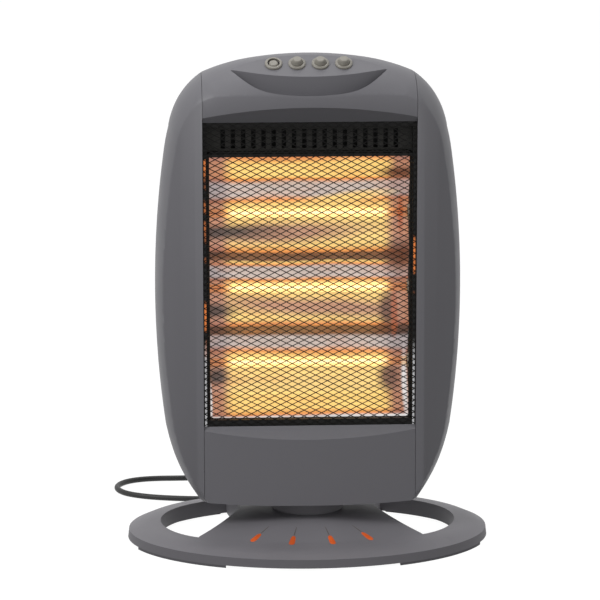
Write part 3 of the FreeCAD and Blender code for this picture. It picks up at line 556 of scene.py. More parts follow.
ring = dressed("base_ring", "base_grey", CREASE, [opening_block(side) for side in (-1, 1)])
# The rim's steep outer faces take the darker grey, painted shade below the base's lit top.
ring.data.materials.append(coats["rim_shade_grey"])
ring_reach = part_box("base_ring")[1]
for face in ring.data.polygons:
    out = math.hypot(face.center.x / ring_reach[0], face.center.y / ring_reach[1])
    if out > RIM_START_SHARE and abs(face.normal.z) < RIM_LEAN:
        face.material_index = 1
for name, side in (("opening_wall_left", -1), ("opening_wall_right", 1)):
    placed(name, strips(name, opening_wall(side), coats["base_grey"]), "base", "base_grey")

dressed("swivel_collar", "base_grey", shape=drawn_in)
dressed("swivel_bush", "bush_white", shape=drawn_in)
dressed("base_feet", "foot_rubber")
dressed("strain_relief", "cord_black")
plug = dressed("mains_plug", "cord_black")
pins = dressed("plug_pins", "pin_brass")
dressed("button_bezels", "button_grey")
for number in range(1, BUTTONS + 1):
    dressed(f"button_{number}", "button_grey")
dressed("lamp_caps", "ceramic_white")
for node, coat in (
    ("base_plate", "plate_black"), ("swing_motor", "motor_metal"), ("swing_crank", "bush_white"),
    ("swivel_post", "zinc_steel"), ("drive_arm", "zinc_steel"), ("guard_frame", "guard_black"),
    ("vent_panel", "vent_black"), ("lamp_brackets", "zinc_steel"), ("heat_shield", "zinc_steel"),
    ("switch_block", "switch_black"), ("tip_switch", "switch_black"), ("thermal_cutout", "switch_black"),
):
    painted(node, coats[coat])


# Base marks: four orange drops on the apron, each with a groove running in towards the pivot, drawn as a
# flat darker strip of painted shade

MARK_PLACES = ((-35.4, 95.3), (-12.5, 89.5), (12.5, 89.5), (35.4, 95.3))
MARK_LENGTH = 17.0
MARK_WIDTH = 6.6
MARK_TAPER_SHARE = 0.35
MARK_DOME = 0.7
GROOVE_LENGTH = 16.0
GROOVE_WIDTH = 1.3
GROOVE_TAPER_SHARE = 0.6
MARK_LIFT = 0.12
MARK_ROUNDNESS = 4
MARK_STEPS = 12
MARK_SIDES = 6


def drop(name, angle, start, length, width, taper, dome, coat):
    """A tapering drop that lies on the base and points at the pivot."""
    turn = math.radians(angle)
    rows = []
    for step in range(MARK_STEPS + 1):
        along = step / MARK_STEPS
        half = width / 2 * math.sqrt(1 - (2 * along - 1) ** MARK_ROUNDNESS) * (1 - taper * along)
        radius = start - length * along
        row = []
        for number in range(MARK_SIDES + 1):
            across = 2 * number / MARK_SIDES - 1
            x = radius * math.sin(turn) + half * across * math.cos(turn)
            y = -radius * math.cos(turn) + half * across * math.sin(turn)
            rise = MARK_LIFT + dome * (1 - across ** 2) * min(1.0, half / width * 2)
            row.append((x, y, height_on(base_top, x, y) + rise))
        rows.append(row)
    placed(name, strips(name, rows, coat), "base", "base_grey")


for number, (angle, radius) in enumerate(MARK_PLACES, start=1):
    drop(f"base_mark_{number}", angle, radius + MARK_LENGTH / 2, MARK_LENGTH, MARK_WIDTH,
         MARK_TAPER_SHARE, MARK_DOME, coats["mark_orange"])
    drop(f"base_groove_{number}", angle, radius - MARK_LENGTH / 2, GROOVE_LENGTH, GROOVE_WIDTH,
         GROOVE_TAPER_SHARE, 0.0, coats["groove_shade_grey"])


# Mains lead: one smooth line from the strain relief through its put-away coil to the plug

CORD_RADIUS = 3.0
CORD_ROUNDNESS = 4
CORD_ORDER = 3
CORD_RESOLUTION = 6
CORD_EXIT = (-57.8, 132.9, 7.0)
CORD_ROUTE = (
    (-80.0, 134.6), (-104.0, 134.6), (-134.0, 138.6), (-164.0, 147.0), (-188.0, 163.0),
    (-196.0, 188.0), (-184.0, 211.0), (-158.0, 221.0), (-120.0, 220.0), (-80.0, 223.5), (-40.0, 222.0),
)
TAIL_ROUTE = ((20.0, 222.4, 10.1), (40.0, 223.0, 15.4), (60.0, 222.6, 18.0))
COIL_TURNS = 5
COIL_RADIUS = 42.0
COIL_PITCH = 6.6
COIL_OFFSET = 180.0
COIL_POINTS = 20


def coil_point(angle):
    """A point of the coil: spiralling in on the floor, up a layer, and out again on top."""
    whole = COIL_TURNS * FULL_TURN
    radius = COIL_RADIUS - COIL_PITCH * min(angle, whole - angle) / FULL_TURN
    lift = COIL_PITCH * eased((angle - whole / 2) / math.pi + 0.5)
    heading = QUARTER_TURN - angle
    return (radius * math.cos(heading), COIL_OFFSET + radius * math.sin(heading), CORD_RADIUS + lift)


def cord_curve():
    """The lead along its run, through its coil and up its tail."""
    run = [(x, y, CORD_RADIUS) for x, y in CORD_ROUTE]
    turns = [coil_point(step * FULL_TURN / COIL_POINTS) for step in range(COIL_TURNS * COIL_POINTS + 1)]
    points = [CORD_EXIT, *run, *turns, *TAIL_ROUTE]
    curve, line = path_curve("mains_lead", "NURBS", points, CORD_RADIUS, CORD_ROUNDNESS)
    line.order_u = CORD_ORDER
    line.use_endpoint_u = True
    line.resolution_u = CORD_RESOLUTION
    curve.materials.append(coats["cord_black"])
    return curve


lead = placed("mains_lead", cord_curve(), "base", "cord_black", "cord_run", "cord_coil", "cord_tail")


# Geometry Nodes


def tree_of(name, inputs):
    """An empty node tree with named inputs, and their sockets."""
    tree = bpy.data.node_groups.new(name, "GeometryNodeTree")
    tree.interface.new_socket("Geometry", in_out="OUTPUT", socket_type="NodeSocketGeometry")
    for label, kind in inputs.items():
        tree.interface.new_socket(label, in_out="INPUT", socket_type="NodeSocket" + kind)
    return tree, add(tree, "NodeGroupInput").outputs


def closed_tree(tree, geometry, coat):
    """The tree, ended in real geometry with its finish on it."""
    real = add(tree, "GeometryNodeRealizeInstances", {0: geometry})
    paint = add(tree, "GeometryNodeSetMaterial", {"Geometry": real.outputs[0], "Material": coat})
    add(tree, "NodeGroupOutput", {0: paint.outputs[0]})
    return tree


def grown(name, tree, values, seed_mesh=None):
    """Run a node tree and keep its result as a plain mesh."""
    holder = linked(name + "_holder", seed_mesh or bpy.data.meshes.new(name + "_seed"))
    growth = holder.modifiers.new("growth", "NODES")
    growth.node_group = tree
    for item in tree.interface.items_tree:
        if item.in_out == "INPUT" and item.name in values:
            growth[item.identifier] = values[item.name]
    return smoothed(plain_mesh(name, holder))


# Rear cover screws: round heads with a six-sided socket, drawn as a black six-sided bar, painted shade in
# the socket

SCREW_PLACES = ((-78.0, 92.0), (78.0, 92.0), (-92.0, 250.0), (92.0, 250.0), (-74.0, 420.0), (74.0, 420.0))
SCREW_HEAD = (20, 3.4, 1.4)
SCREW_SOCKET = (6, 1.5, 1.5)


def screw_tree():
    """One short round or many-sided bar on each point, with its axis along Y."""
    tree, size = tree_of("screw_pattern", {
        "Points": "Geometry", "Sides": "Int", "Radius": "Float", "Depth": "Float", "Finish": "Material",
    })
    shape = add(tree, "GeometryNodeMeshCylinder", {
        "Vertices": size["Sides"], "Radius": size["Radius"], "Depth": size["Depth"]})
    pattern = add(tree, "GeometryNodeInstanceOnPoints", {
        "Points": size["Points"], "Instance": shape.outputs["Mesh"], "Rotation": (QUARTER_TURN, 0.0, 0.0)})
    return closed_tree(tree, pattern.outputs[0], size["Finish"])


def screw_spots(name):
    """Points on the rear cover's outside."""
    back = surface_of("rear_cover")
    places = [back.ray_cast(metres(x, BEYOND, z), Vector((0, -1, 0)))[0] for x, z in SCREW_PLACES]
    mesh = bpy.data.meshes.new(name)
    mesh.from_pydata(places, [], [])
    return mesh


screws = screw_tree()
for name, (sides, radius, depth), slot in (
    ("screw_heads", SCREW_HEAD, "zinc_steel"), ("screw_sockets", SCREW_SOCKET, "switch_black"),
):
    screw_mesh = grown(name, screws, {
        "Sides": sides, "Radius": radius * MM, "Depth": depth * MM, "Finish": coats[slot],
    }, screw_spots(name + "_spots"))
    placed(name, screw_mesh, "head", slot)


# Guard net: expanded metal across the whole front

NET_HALF = 104.6
NET_LOW = 127.8
NET_HIGH = 431.7
NET_DEPTH = 45.6
NET_COLUMNS = 36
NET_ROWS = 102
STRAND_WIDTH = 1.15
STRAND_THICKNESS = 0.6
STRAND_TILT = 38.0
STRAND_SIDES = 6
UNIT_RADIUS = 0.5


def net_tree():
    """Strands on a grid of points, leaning to alternate sides so that they close into diamonds."""
    tree, size = tree_of("expanded_net", {
        "Columns": "Int", "Rows": "Int", "Pitch Across": "Float", "Pitch Up": "Float",
        "Strand Width": "Float", "Strand Thickness": "Float", "Strand Tilt": "Float",
        "Place": "Vector", "Finish": "Material",
    })
    columns, rows, across, up = (size[label] for label in ("Columns", "Rows", "Pitch Across", "Pitch Up"))
    spots = add(tree, "GeometryNodeMeshGrid", {
        "Size X": reckon(tree, "MULTIPLY", across, reckon(tree, "SUBTRACT", columns, 1.0)),
        "Size Y": reckon(tree, "MULTIPLY", up, reckon(tree, "SUBTRACT", rows, 1.0)),
        "Vertices X": columns, "Vertices Y": rows,
    })
    number = add(tree, "GeometryNodeInputIndex").outputs[0]
    column = reckon(tree, "FLOOR", reckon(tree, "DIVIDE", reckon(tree, "ADD", number, 0.5), rows))
    row = reckon(tree, "SUBTRACT", number, reckon(tree, "MULTIPLY", column, rows))
    parity = reckon(tree, "FLOORED_MODULO", reckon(tree, "ADD", column, row), 2.0)
    side = reckon(tree, "MULTIPLY_ADD", parity, -2.0, 1.0)
    lean = reckon(tree, "ARCTAN2", up, across)
    squares = [reckon(tree, "POWER", pitch, 2.0) for pitch in (up, across)]
    run = reckon(tree, "SQRT", reckon(tree, "ADD", *squares))
    strand = add(tree, "GeometryNodeMeshCylinder", {
        "Vertices": STRAND_SIDES, "Radius": UNIT_RADIUS,
        "Depth": reckon(tree, "ADD", run, size["Strand Thickness"]),
    })
    flat = add(tree, "GeometryNodeTransform", {
        "Geometry": strand.outputs["Mesh"],
        "Rotation": vector_of(tree, 0.0, 0.0, size["Strand Tilt"]),
        "Scale": vector_of(tree, size["Strand Thickness"], size["Strand Width"], 1.0),
    })
    laid = add(tree, "GeometryNodeTransform", {
        "Geometry": flat.outputs[0], "Rotation": (0.0, QUARTER_TURN, 0.0)})
    pattern = add(tree, "GeometryNodeInstanceOnPoints", {
        "Points": spots.outputs["Mesh"], "Instance": laid.outputs[0],
        "Rotation": vector_of(tree, 0.0, 0.0, reckon(tree, "MULTIPLY", side, lean)),
    })
    stood = add(tree, "GeometryNodeTransform", {
        "Geometry": pattern.outputs[0], "Translation": size["Place"], "Rotation": (QUARTER_TURN, 0.0, 0.0)})
    return closed_tree(tree, stood.outputs[0], size["Finish"])


net_mesh = grown("guard_net", net_tree(), {
    "Columns": NET_COLUMNS,
    "Rows": NET_ROWS,
    "Pitch Across": 2 * NET_HALF / NET_COLUMNS * MM,
    "Pitch Up": (NET_HIGH - NET_LOW) / NET_ROWS * MM,
    "Strand Width": STRAND_WIDTH * MM,
    "Strand Thickness": STRAND_THICKNESS * MM,
    "Strand Tilt": math.radians(STRAND_TILT),
    "Place": metres(0, -NET_DEPTH, (NET_LOW + NET_HIGH) / 2),
    "Finish": coats["guard_black"],
})
placed("guard_net", net_mesh, "head", "guard_black", "guard_mesh")


# Guard wire: a black wire bent round the reflector's mouth

WIRE_HALF = 100.6
WIRE_LOW = 131.5
WIRE_HIGH = 401.2
WIRE_DEPTH = 38.4
WIRE_RADIUS = 2.1
WIRE_ROUNDNESS = 3
WIRE_CORNER = 4.0
CORNER_STEPS = 8


def wire_path():
    """The rounded rectangle that the guard's wire follows."""
    points = []
    for side, top, start in ((1, 1, 0), (-1, 1, 90), (-1, -1, 180), (1, -1, 270)):
        x = side * (WIRE_HALF - WIRE_CORNER)
        z = WIRE_HIGH - WIRE_CORNER if top > 0 else WIRE_LOW + WIRE_CORNER
        for step in range(CORNER_STEPS + 1):
            angle = math.radians(start + 90 * step / CORNER_STEPS)
            out, up = WIRE_CORNER * math.cos(angle), WIRE_CORNER * math.sin(angle)
            points.append((x + out, -WIRE_DEPTH, z + up))
    return points


wire_curve, wire_line = path_curve("guard_wire", "POLY", wire_path(), WIRE_RADIUS, WIRE_ROUNDNESS)
wire_line.use_cyclic_u = True
wire_mesh = smoothed(plain_mesh("guard_wire", linked("guard_wire_path", wire_curve)))
wire_mesh.materials.append(coats["guard_black"])
placed("guard_wire", wire_mesh, "head", "guard_black")


# Guard edges: a strip up the front of the guard frame on each side, bright at its foot with a painted
# glint, and with painted flecks of lamp light above it

EDGE_OUTER = 104.2
EDGE_INNER = 102.2
EDGE_LOW = 126.0
EDGE_HIGH = 396.0
EDGE_DEPTH = 45.3
EDGE_SHEET = 0.3
# The bright foot is a painted glint, the metal made bright only below a height, and the orange flecks are
# painted lamp light.
EDGE_BRIGHT = linear(196, 196, 198)
EDGE_BLACK = linear(15, 14, 13)
EDGE_ROUGHNESS = (0.25, 0.35)
EDGE_METALLIC = 0.6
EDGE_GRAIN = 500.0
EDGE_GRAIN_DEPTH = 0.03
BRIGHT_HIGH = 195.0
BRIGHT_FADE = 20.0
FLECK_ORANGE = linear(236, 132, 62)
FLECK_SCALE = 26.0
FLECK_GLOW = 0.8
FLECK_RANGE = (0.5, 0.6)


def edge_finish():
    """Metal made bright below a height, a painted glint, and black above, with painted flecks of the lamps'
    light that comes past the reflector.
    """
    made, tree, shader, spot = material("guard_edge")
    height = split(tree, spot)["Z"]
    above = spread(tree, height, 0.0, 1.0, BRIGHT_HIGH * MM, (BRIGHT_HIGH + BRIGHT_FADE) * MM)
    patches = noise(tree, spot, FLECK_SCALE, GRAIN_DETAIL)
    flecks = spread(tree, patches, 0.0, FLECK_GLOW, *FLECK_RANGE)
    feed(tree, shader, {
        "Base Color": blended(tree, above, EDGE_BRIGHT, EDGE_BLACK),
        "Metallic": EDGE_METALLIC,
        "Roughness": spread(tree, patches, *EDGE_ROUGHNESS),
        "Emission Color": FLECK_ORANGE,
        "Emission Strength": reckon(tree, "MULTIPLY", flecks, above),
    })
    bumped(tree, shader, noise(tree, spot, EDGE_GRAIN, GRAIN_DETAIL), EDGE_GRAIN_DEPTH * MM)
    return made


edge_coat = edge_finish()
edge_corners = (
    (EDGE_OUTER, -EDGE_DEPTH), (EDGE_INNER, -EDGE_DEPTH),
    (EDGE_INNER, EDGE_SHEET - EDGE_DEPTH), (EDGE_OUTER, EDGE_SHEET - EDGE_DEPTH),
)
for name, side in (("guard_edge_left", -1), ("guard_edge_right", 1)):
    edge_mesh = bar(name, [[(side * x, y, z) for x, y in edge_corners] for z in (EDGE_LOW, EDGE_HIGH)])
    edge_mesh.materials.append(edge_coat)
    placed(name, edge_mesh, "head", "zinc_steel")


# Vent shade: a dark bent sheet on the reflector's top edge, behind the vent's slots, that stands for the
# shade inside the head

SHADE_SHEET_HALF = 98.0
SHADE_SHEET_FOOT = 398.2
SHADE_SHEET_TOP = 428.0
SHADE_SHEET_FRONT = 34.0
SHADE_SHEET_BACK = 20.0
SHADE_SHEET_THICKNESS = 0.8

shade_sheet_profile = (
    (-SHADE_SHEET_FRONT, SHADE_SHEET_FOOT), (-SHADE_SHEET_BACK, SHADE_SHEET_FOOT), (-SHADE_SHEET_BACK, SHADE_SHEET_TOP),
    (-SHADE_SHEET_BACK - SHADE_SHEET_THICKNESS, SHADE_SHEET_TOP), (-SHADE_SHEET_BACK - SHADE_SHEET_THICKNESS, SHADE_SHEET_FOOT + SHADE_SHEET_THICKNESS),
    (-SHADE_SHEET_FRONT, SHADE_SHEET_FOOT + SHADE_SHEET_THICKNESS),
)
shade_sheet_mesh = bar("vent_shade_sheet", [
    [(x, y, z) for y, z in shade_sheet_profile] for x in (-SHADE_SHEET_HALF, SHADE_SHEET_HALF)])
shade_sheet_mesh.materials.append(coats["guard_black"])
placed("vent_shade_sheet", shade_sheet_mesh, "head", "guard_black")


# Lamps: a coiled filament in each quartz tube

LAMP_HEIGHTS = (184.0, 260.0, 336.0)
LAMP_DEPTH = 10.0
FILAMENT_RADIUS = 1.1
FILAMENT_WIRE = 0.42
FILAMENT_HALF = 80.0
FILAMENT_TURNS = 66
FILAMENT_STEPS = 10
FILAMENT_SIDES = 6
LEAD_HALF = 101.0
LEAD_SIDES = 8
LIT_HALF = 74.0
LIT_END = 88.0
FILAMENT_TINTS = (linear(120, 24, 6), linear(255, 240, 206))
FILAMENT_STRENGTHS = (0.3, 1.1)
FILAMENT_METAL = linear(90, 70, 60)
FILAMENT_ROUGHNESS = (0.3, 0.5)
FILAMENT_GRAIN = 700.0
# The quartz's glow is painted light, standing for the filament's light in the glass.
QUARTZ_LIT_HALF = 70.0
QUARTZ_LIT_END = 92.0
QUARTZ_GLOW_TINTS = (linear(150, 46, 14), linear(255, 218, 150))
QUARTZ_GLOW_STRENGTHS = (0.01, 0.26)
QUARTZ_CLEAR = linear(255, 244, 226)
QUARTZ_ROUGHNESS = (0.02, 0.06)
QUARTZ_CLOUDS = 60.0
QUARTZ_WAVES = 90.0
QUARTZ_WAVE_DEPTH = 0.05
QUARTZ_IOR = 1.12


def helix_tree():
    """A wire coiled about a straight lead, both along X."""
    tree, size = tree_of("filament_coil", {
        "Turns": "Float", "Coil Radius": "Float", "Length": "Float", "Wire Radius": "Float",
        "Lead Length": "Float", "Place": "Vector", "Finish": "Material",
    })
    spiral = add(tree, "GeometryNodeCurveSpiral", {
        "Resolution": FILAMENT_STEPS, "Rotations": size["Turns"], "Height": size["Length"],
        "Start Radius": size["Coil Radius"], "End Radius": size["Coil Radius"],
    })
    section = add(tree, "GeometryNodeCurvePrimitiveCircle", {
        "Resolution": FILAMENT_SIDES, "Radius": size["Wire Radius"]})
    coil = add(tree, "GeometryNodeCurveToMesh", {
        "Curve": spiral.outputs[0], "Profile Curve": section.outputs[0], "Fill Caps": True})
    middle = vector_of(tree, 0.0, 0.0, reckon(tree, "MULTIPLY", size["Length"], -0.5))
    centred = add(tree, "GeometryNodeTransform", {"Geometry": coil.outputs[0], "Translation": middle})
    straight = add(tree, "GeometryNodeMeshCylinder", {
        "Vertices": LEAD_SIDES, "Radius": size["Wire Radius"], "Depth": size["Lead Length"]})
    both = add(tree, "GeometryNodeJoinGeometry", {0: straight.outputs["Mesh"]})
    feed(tree, both, {0: centred.outputs[0]})
    laid = add(tree, "GeometryNodeTransform", {
        "Geometry": both.outputs[0], "Translation": size["Place"], "Rotation": (0.0, QUARTER_TURN, 0.0)})
    return closed_tree(tree, laid.outputs[0], size["Finish"])


def across_fade(tree, spot, inner, outer):
    """One out to the inner half width, falling to nothing at the outer one."""
    away = reckon(tree, "ABSOLUTE", split(tree, spot)["X"])
    return spread(tree, away, 1.0, 0.0, inner * MM, outer * MM, interpolation_type="SMOOTHSTEP")


def glowing(tree, shader, glow_share, tints, strengths):
    """Emission from the first tint and strength where the share is nothing, as at the filament's cool ends,
    to the second: the filament's own light, and light painted on the quartz.
    """
    feed(tree, shader, {
        "Emission Color": blended(tree, glow_share, *tints),
        "Emission Strength": spread(tree, glow_share, *strengths, 0.0, 1.0),
    })


def filament_glow():
    """White-hot wire that cools to a dull red at its ends."""
    made, tree, shader, spot = material("filament_glow")
    glowing(tree, shader, across_fade(tree, spot, LIT_HALF, LIT_END), FILAMENT_TINTS, FILAMENT_STRENGTHS)
    feed(tree, shader, {
        "Base Color": FILAMENT_METAL,
        "Roughness": spread(tree, noise(tree, spot, FILAMENT_GRAIN), *FILAMENT_ROUGHNESS),
    })
    return made


def quartz_glass():
    """Clear tube wall, with its filament's light painted on it as a glow."""
    made, tree, shader, spot = material("quartz")
    glow_share = across_fade(tree, spot, QUARTZ_LIT_HALF, QUARTZ_LIT_END)
    glowing(tree, shader, glow_share, QUARTZ_GLOW_TINTS, QUARTZ_GLOW_STRENGTHS)
    feed(tree, shader, {
        "Base Color": QUARTZ_CLEAR,
        "Roughness": spread(tree, noise(tree, spot, QUARTZ_CLOUDS), *QUARTZ_ROUGHNESS),
        "Transmission Weight": 1.0,
        "IOR": QUARTZ_IOR,
    })
    bumped(tree, shader, noise(tree, spot, QUARTZ_WAVES), QUARTZ_WAVE_DEPTH * MM)
    return made


coats["filament_glow"] = filament_glow()
coats["quartz"] = quartz_glass()
coil_tree = helix_tree()
for number, height in enumerate(LAMP_HEIGHTS, start=1):
    coil_mesh = grown(f"filament_coil_{number}", coil_tree, {
        "Turns": float(FILAMENT_TURNS),
        "Coil Radius": (FILAMENT_RADIUS + FILAMENT_WIRE) * MM,
        "Length": 2 * FILAMENT_HALF * MM,
        "Wire Radius": FILAMENT_WIRE * MM,
        "Lead Length": 2 * LEAD_HALF * MM,
        "Place": metres(0, -LAMP_DEPTH, height),
        "Finish": coats["filament_glow"],
    })
    placed(f"filament_coil_{number}", coil_mesh, "head", "filament_glow", f"filament_{number}")
    dressed(f"lamp_glass_{number}", "quartz")


# Reflector: polished sheet, with the lamps' light that it throws forward painted on it as emission, in
# bands along its troughs

# Tints of the lamps' light painted on the sheet: the bright, amber, pale and mauve ones are painted
# reflections of the lamps, the two dark brown ones are painted shade and shadow, the red-brown one is a
# painted reflection, and the silver one is a painted glint.
BRIGHT_LIGHT = linear(255, 212, 124)
AMBER = linear(230, 138, 66)
PALE = linear(190, 178, 175)
MAUVE = linear(186, 132, 106)
SHADED_LIGHT = linear(104, 62, 44)
RED_BROWN_LIGHT = linear(176, 92, 54)
SILVER_GLINT = linear(226, 223, 222)
DEEP_SHADED_LIGHT = linear(50, 37, 33)
END_TINTS = {
    BRIGHT_LIGHT: MAUVE, AMBER: linear(164, 104, 82), PALE: linear(168, 156, 156), SHADED_LIGHT: linear(84, 60, 52),
}
REFLECTOR_LOW = 130.0
REFLECTOR_HIGH = 398.0
LIGHT_STOPS = (
    (SILVER_GLINT, 130.0, 134.5), (AMBER, 136.5), (BRIGHT_LIGHT, 141.0, 186.0), (AMBER, 191.0), (PALE, 197.0, 207.0),
    (SHADED_LIGHT, 211.0, 220.0), (AMBER, 223.0), (BRIGHT_LIGHT, 227.0, 262.0), (AMBER, 266.0), (PALE, 269.0, 279.0),
    (AMBER, 282.0), (BRIGHT_LIGHT, 284.5), (SHADED_LIGHT, 287.0, 294.5), (AMBER, 297.0), (BRIGHT_LIGHT, 303.0, 342.0),
    (AMBER, 347.0), (PALE, 352.0, 365.0), (AMBER, 370.0), (BRIGHT_LIGHT, 374.0, 391.0), (AMBER, 397.0),
)
BAND_WANDER = 3.0
WANDER_SCALES = (5.0, 14.0)
WANDER_DETAIL = 2.0
# Patches of painted light, each a tint, a place across and up, and the half width, half height and tilt of
# its ellipse: painted shadows in the dark tints, painted glints in silver, painted reflections in the
# others.
LIGHT_PATCHES = (
    (MAUVE, -30.0, 313.0, 110.0, 12.0, -3.0), (DEEP_SHADED_LIGHT, -98.0, 314.0, 92.0, 10.0, -1.0),
    (MAUVE, 10.0, 239.0, 150.0, 12.0, 2.5), (DEEP_SHADED_LIGHT, -96.0, 235.0, 30.0, 9.0, 2.0),
    (BRIGHT_LIGHT, 40.0, 349.0, 56.0, 8.0, -5.0), (SHADED_LIGHT, 92.0, 377.0, 30.0, 10.0, 0.0),
    (DEEP_SHADED_LIGHT, -91.0, 168.0, 15.0, 10.0, 0.0), (SHADED_LIGHT, 82.0, 166.0, 15.0, 18.0, 0.0),
    (SHADED_LIGHT, 92.0, 290.0, 22.0, 22.0, 0.0), (SHADED_LIGHT, 80.0, 236.0, 12.0, 24.0, 0.0),
    (SILVER_GLINT, -98.0, 146.0, 2.5, 20.0, 0.0), (SILVER_GLINT, 97.5, 160.0, 4.0, 44.0, 0.0),
    (RED_BROWN_LIGHT, 87.0, 232.0, 4.5, 30.0, 0.0), (RED_BROWN_LIGHT, 93.0, 330.0, 4.0, 26.0, 0.0),
)
PATCH_SHARE = 0.92
PATCH_CORE_SHARE = 0.35
MOTTLE_SHARE = 0.4
MOTTLE_SCALES = (14.0, 45.0)
MOTTLE_RANGE = (0.5, 0.75)
WAVE_SCALE = 22.0
WAVE_DETAIL = 1.0
WAVE_DEPTH = 1.2
STREAK_SCALES = (12.0, 300.0)
STREAK_DEPTH = 0.01
SHEET_TINTS = (linear(84, 81, 80), linear(100, 97, 96))
SHEET_ROUGHNESS = (0.22, 0.36)
SHEET_GLOW = (0.8, 1.1)
FRONT_RANGE = (-0.1, 0.0)
REFLECTOR_CREASE = 20.0


def light_bands(tree, height, swaps):
    """The tint of the painted light thrown back at each height, running softly from band to band."""
    share = spread(tree, height, 0.0, 1.0, REFLECTOR_LOW * MM, REFLECTOR_HIGH * MM)
    node = add(tree, "ShaderNodeValToRGB", {0: share})
    stops = node.color_ramp.elements
    stops.remove(stops[1])
    for tint, *heights in LIGHT_STOPS:
        for level in heights:
            stop = stops.new((level - REFLECTOR_LOW) / (REFLECTOR_HIGH - REFLECTOR_LOW))
            stop.color = swaps.get(tint, tint)
    stops.remove(stops[0])
    return node.outputs["Color"]


def streaked(tree, spot, scales, detail=NOISE_DETAIL):
    """Noise drawn out along X, in spots per metre along and across it."""
    along, across = scales
    stretched = add(tree, "ShaderNodeMapping", {"Vector": spot, "Scale": (along, across, across)})
    return noise(tree, stretched.outputs[0], 1.0, detail)


def light_patch(tree, spot, x, z, half_wide, half_tall, tilt):
    """A share that is full at a place on the sheet and fades out at the rim of a tilted ellipse."""
    centred = add(tree, "ShaderNodeMapping", {
        "Vector": spot, "Location": metres(x, 0.0, z), "Rotation": (0.0, math.radians(tilt), 0.0),
        "Scale": (half_wide * MM, 1.0, half_tall * MM),
    }, vector_type="TEXTURE")
    away = add(tree, "ShaderNodeVectorMath", {0: centred.outputs[0]}, operation="LENGTH")
    return spread(tree, away.outputs["Value"], PATCH_SHARE, 0.0, PATCH_CORE_SHARE, 1.0)


def thrown_light(tree, spot):
    """The colour of the lamps' light painted on the sheet: wandering bands, mottled, with patches of
    painted shadow, glint and reflection, duller at both ends.
    """
    wander = spread(
        tree, streaked(tree, spot, WANDER_SCALES, WANDER_DETAIL), -BAND_WANDER * MM, BAND_WANDER * MM)
    height = reckon(tree, "ADD", split(tree, spot)["Z"], wander)
    light = blended(
        tree, across_fade(tree, spot, LIT_HALF, LIT_END),
        light_bands(tree, height, END_TINTS), light_bands(tree, height, {}))
    mottle = spread(tree, streaked(tree, spot, MOTTLE_SCALES), 0.0, MOTTLE_SHARE, *MOTTLE_RANGE)
    light = blended(tree, mottle, light, AMBER)
    shift = vector_of(tree, 0.0, 0.0, wander)
    strayed = add(tree, "ShaderNodeVectorMath", {0: spot, 1: shift}, operation="ADD").outputs[0]
    for tint, *place in LIGHT_PATCHES:
        light = blended(tree, light_patch(tree, strayed, *place), light, tint)
    return light


def reflector_sheet():
    """Bright metal with shallow waves and fine streaks, with the lamps' light painted on as emission on the
    side that faces forward.
    """
    made, tree, shader, spot = material("reflector_bright")
    waves = noise(tree, spot, WAVE_SCALE, WAVE_DETAIL)
    streaks = streaked(tree, spot, STREAK_SCALES)
    facing = split(tree, add(tree, "ShaderNodeTexCoord").outputs["Normal"])["Y"]
    front = spread(tree, facing, 1.0, 0.0, *FRONT_RANGE)
    feed(tree, shader, {
        "Base Color": blended(tree, spread(tree, waves, 0.0, 1.0), *SHEET_TINTS),
        "Roughness": spread(tree, streaks, *SHEET_ROUGHNESS),
        "Emission Color": thrown_light(tree, spot),
        "Emission Strength": reckon(tree, "MULTIPLY", spread(tree, streaks, *SHEET_GLOW), front),
        **METAL,
    })
    relief = bumped(tree, shader, waves, WAVE_DEPTH * MM)
    bumped(tree, shader, streaks, STREAK_DEPTH * MM, relief)
    return made


coats["reflector_bright"] = reflector_sheet()
dressed("reflector", "reflector_bright", REFLECTOR_CREASE)


# Studio: white floor and background, soft light

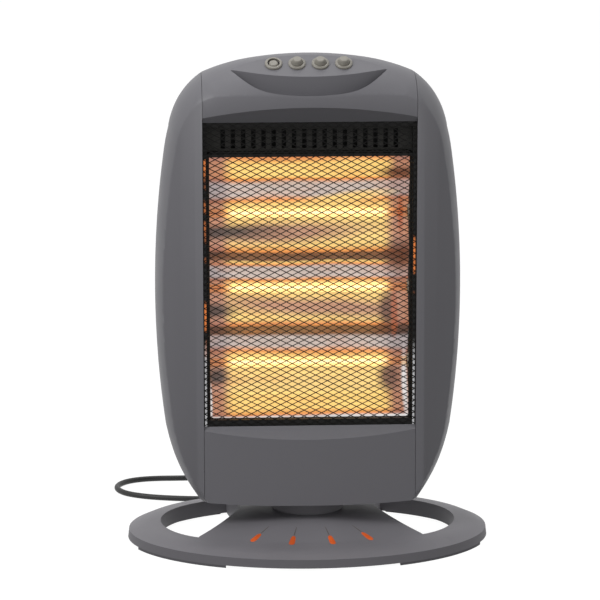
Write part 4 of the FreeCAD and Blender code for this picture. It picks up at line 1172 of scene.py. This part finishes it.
FLOOR_HALF = 30000.0
FLOOR_PAPER = (0.12, 0.12, 0.12, 1.0)
FLOOR_WHITE = 0.97
SKY_WHITE = (1.0, 1.0, 1.0, 1.0)
AMBIENT = 0.38
SOFTBOXES = (
    ("key_light", metres(-1300, -950, 1600), metres(0, 0, 350), 900.0, 16.5),
    ("fill_light", metres(2200, -2200, 2000), metres(0, 0, 300), 1600.0, 11.0),
    ("top_light", metres(0, 400, 2600), metres(0, 0, 200), 1600.0, 12.0),
)


def seen_directly(tree):
    """One for rays that show the background: camera, mirror and glass rays."""
    rays = add(tree, "ShaderNodeLightPath").outputs
    seen = reckon(tree, "MAXIMUM", rays["Is Camera Ray"], rays["Is Glossy Ray"])
    return reckon(tree, "MAXIMUM", seen, rays["Is Transmission Ray"])


def white_floor():
    """Paper that shows white and still takes the object's shadow."""
    made = bpy.data.materials.new("studio_floor")
    made.use_nodes = True
    tree = made.node_tree
    tree.nodes.clear()
    paper = add(tree, "ShaderNodeBsdfDiffuse", {"Color": FLOOR_PAPER})
    glow = add(tree, "ShaderNodeEmission", {
        "Strength": spread(tree, seen_directly(tree), 0.0, FLOOR_WHITE, 0.0, 1.0)})
    both = add(tree, "ShaderNodeAddShader", {0: paper.outputs[0], 1: glow.outputs[0]})
    add(tree, "ShaderNodeOutputMaterial", {"Surface": both.outputs[0]})
    return made


def studio_world():
    """A white background that lights the object gently."""
    world = bpy.data.worlds.new("studio")
    world.use_nodes = True
    tree = world.node_tree
    feed(tree, tree.nodes["Background"], {
        "Color": SKY_WHITE,
        "Strength": spread(tree, seen_directly(tree), AMBIENT, 1.0, 0.0, 1.0),
    })
    return world


def softbox(name, place, aim, width, power):
    """A round soft lamp."""
    lamp = bpy.data.lights.new(name, "AREA")
    lamp.shape = "DISK"
    lamp.size = width * MM
    lamp.energy = power
    made = linked(name, lamp)
    made.location = place
    made.rotation_euler = aimed(place, aim)


floor_corners = [(x * FLOOR_HALF, y * FLOOR_HALF, 0.0) for x, y in ((-1, -1), (1, -1), (1, 1), (-1, 1))]
floor_mesh = bpy.data.meshes.new("studio_floor")
floor_mesh.from_pydata([metres(*corner) for corner in floor_corners], [], [(0, 1, 2, 3)])
floor_mesh.materials.append(white_floor())
linked("studio_floor", floor_mesh)
scene.world = studio_world()
for values in SOFTBOXES:
    softbox(*values)
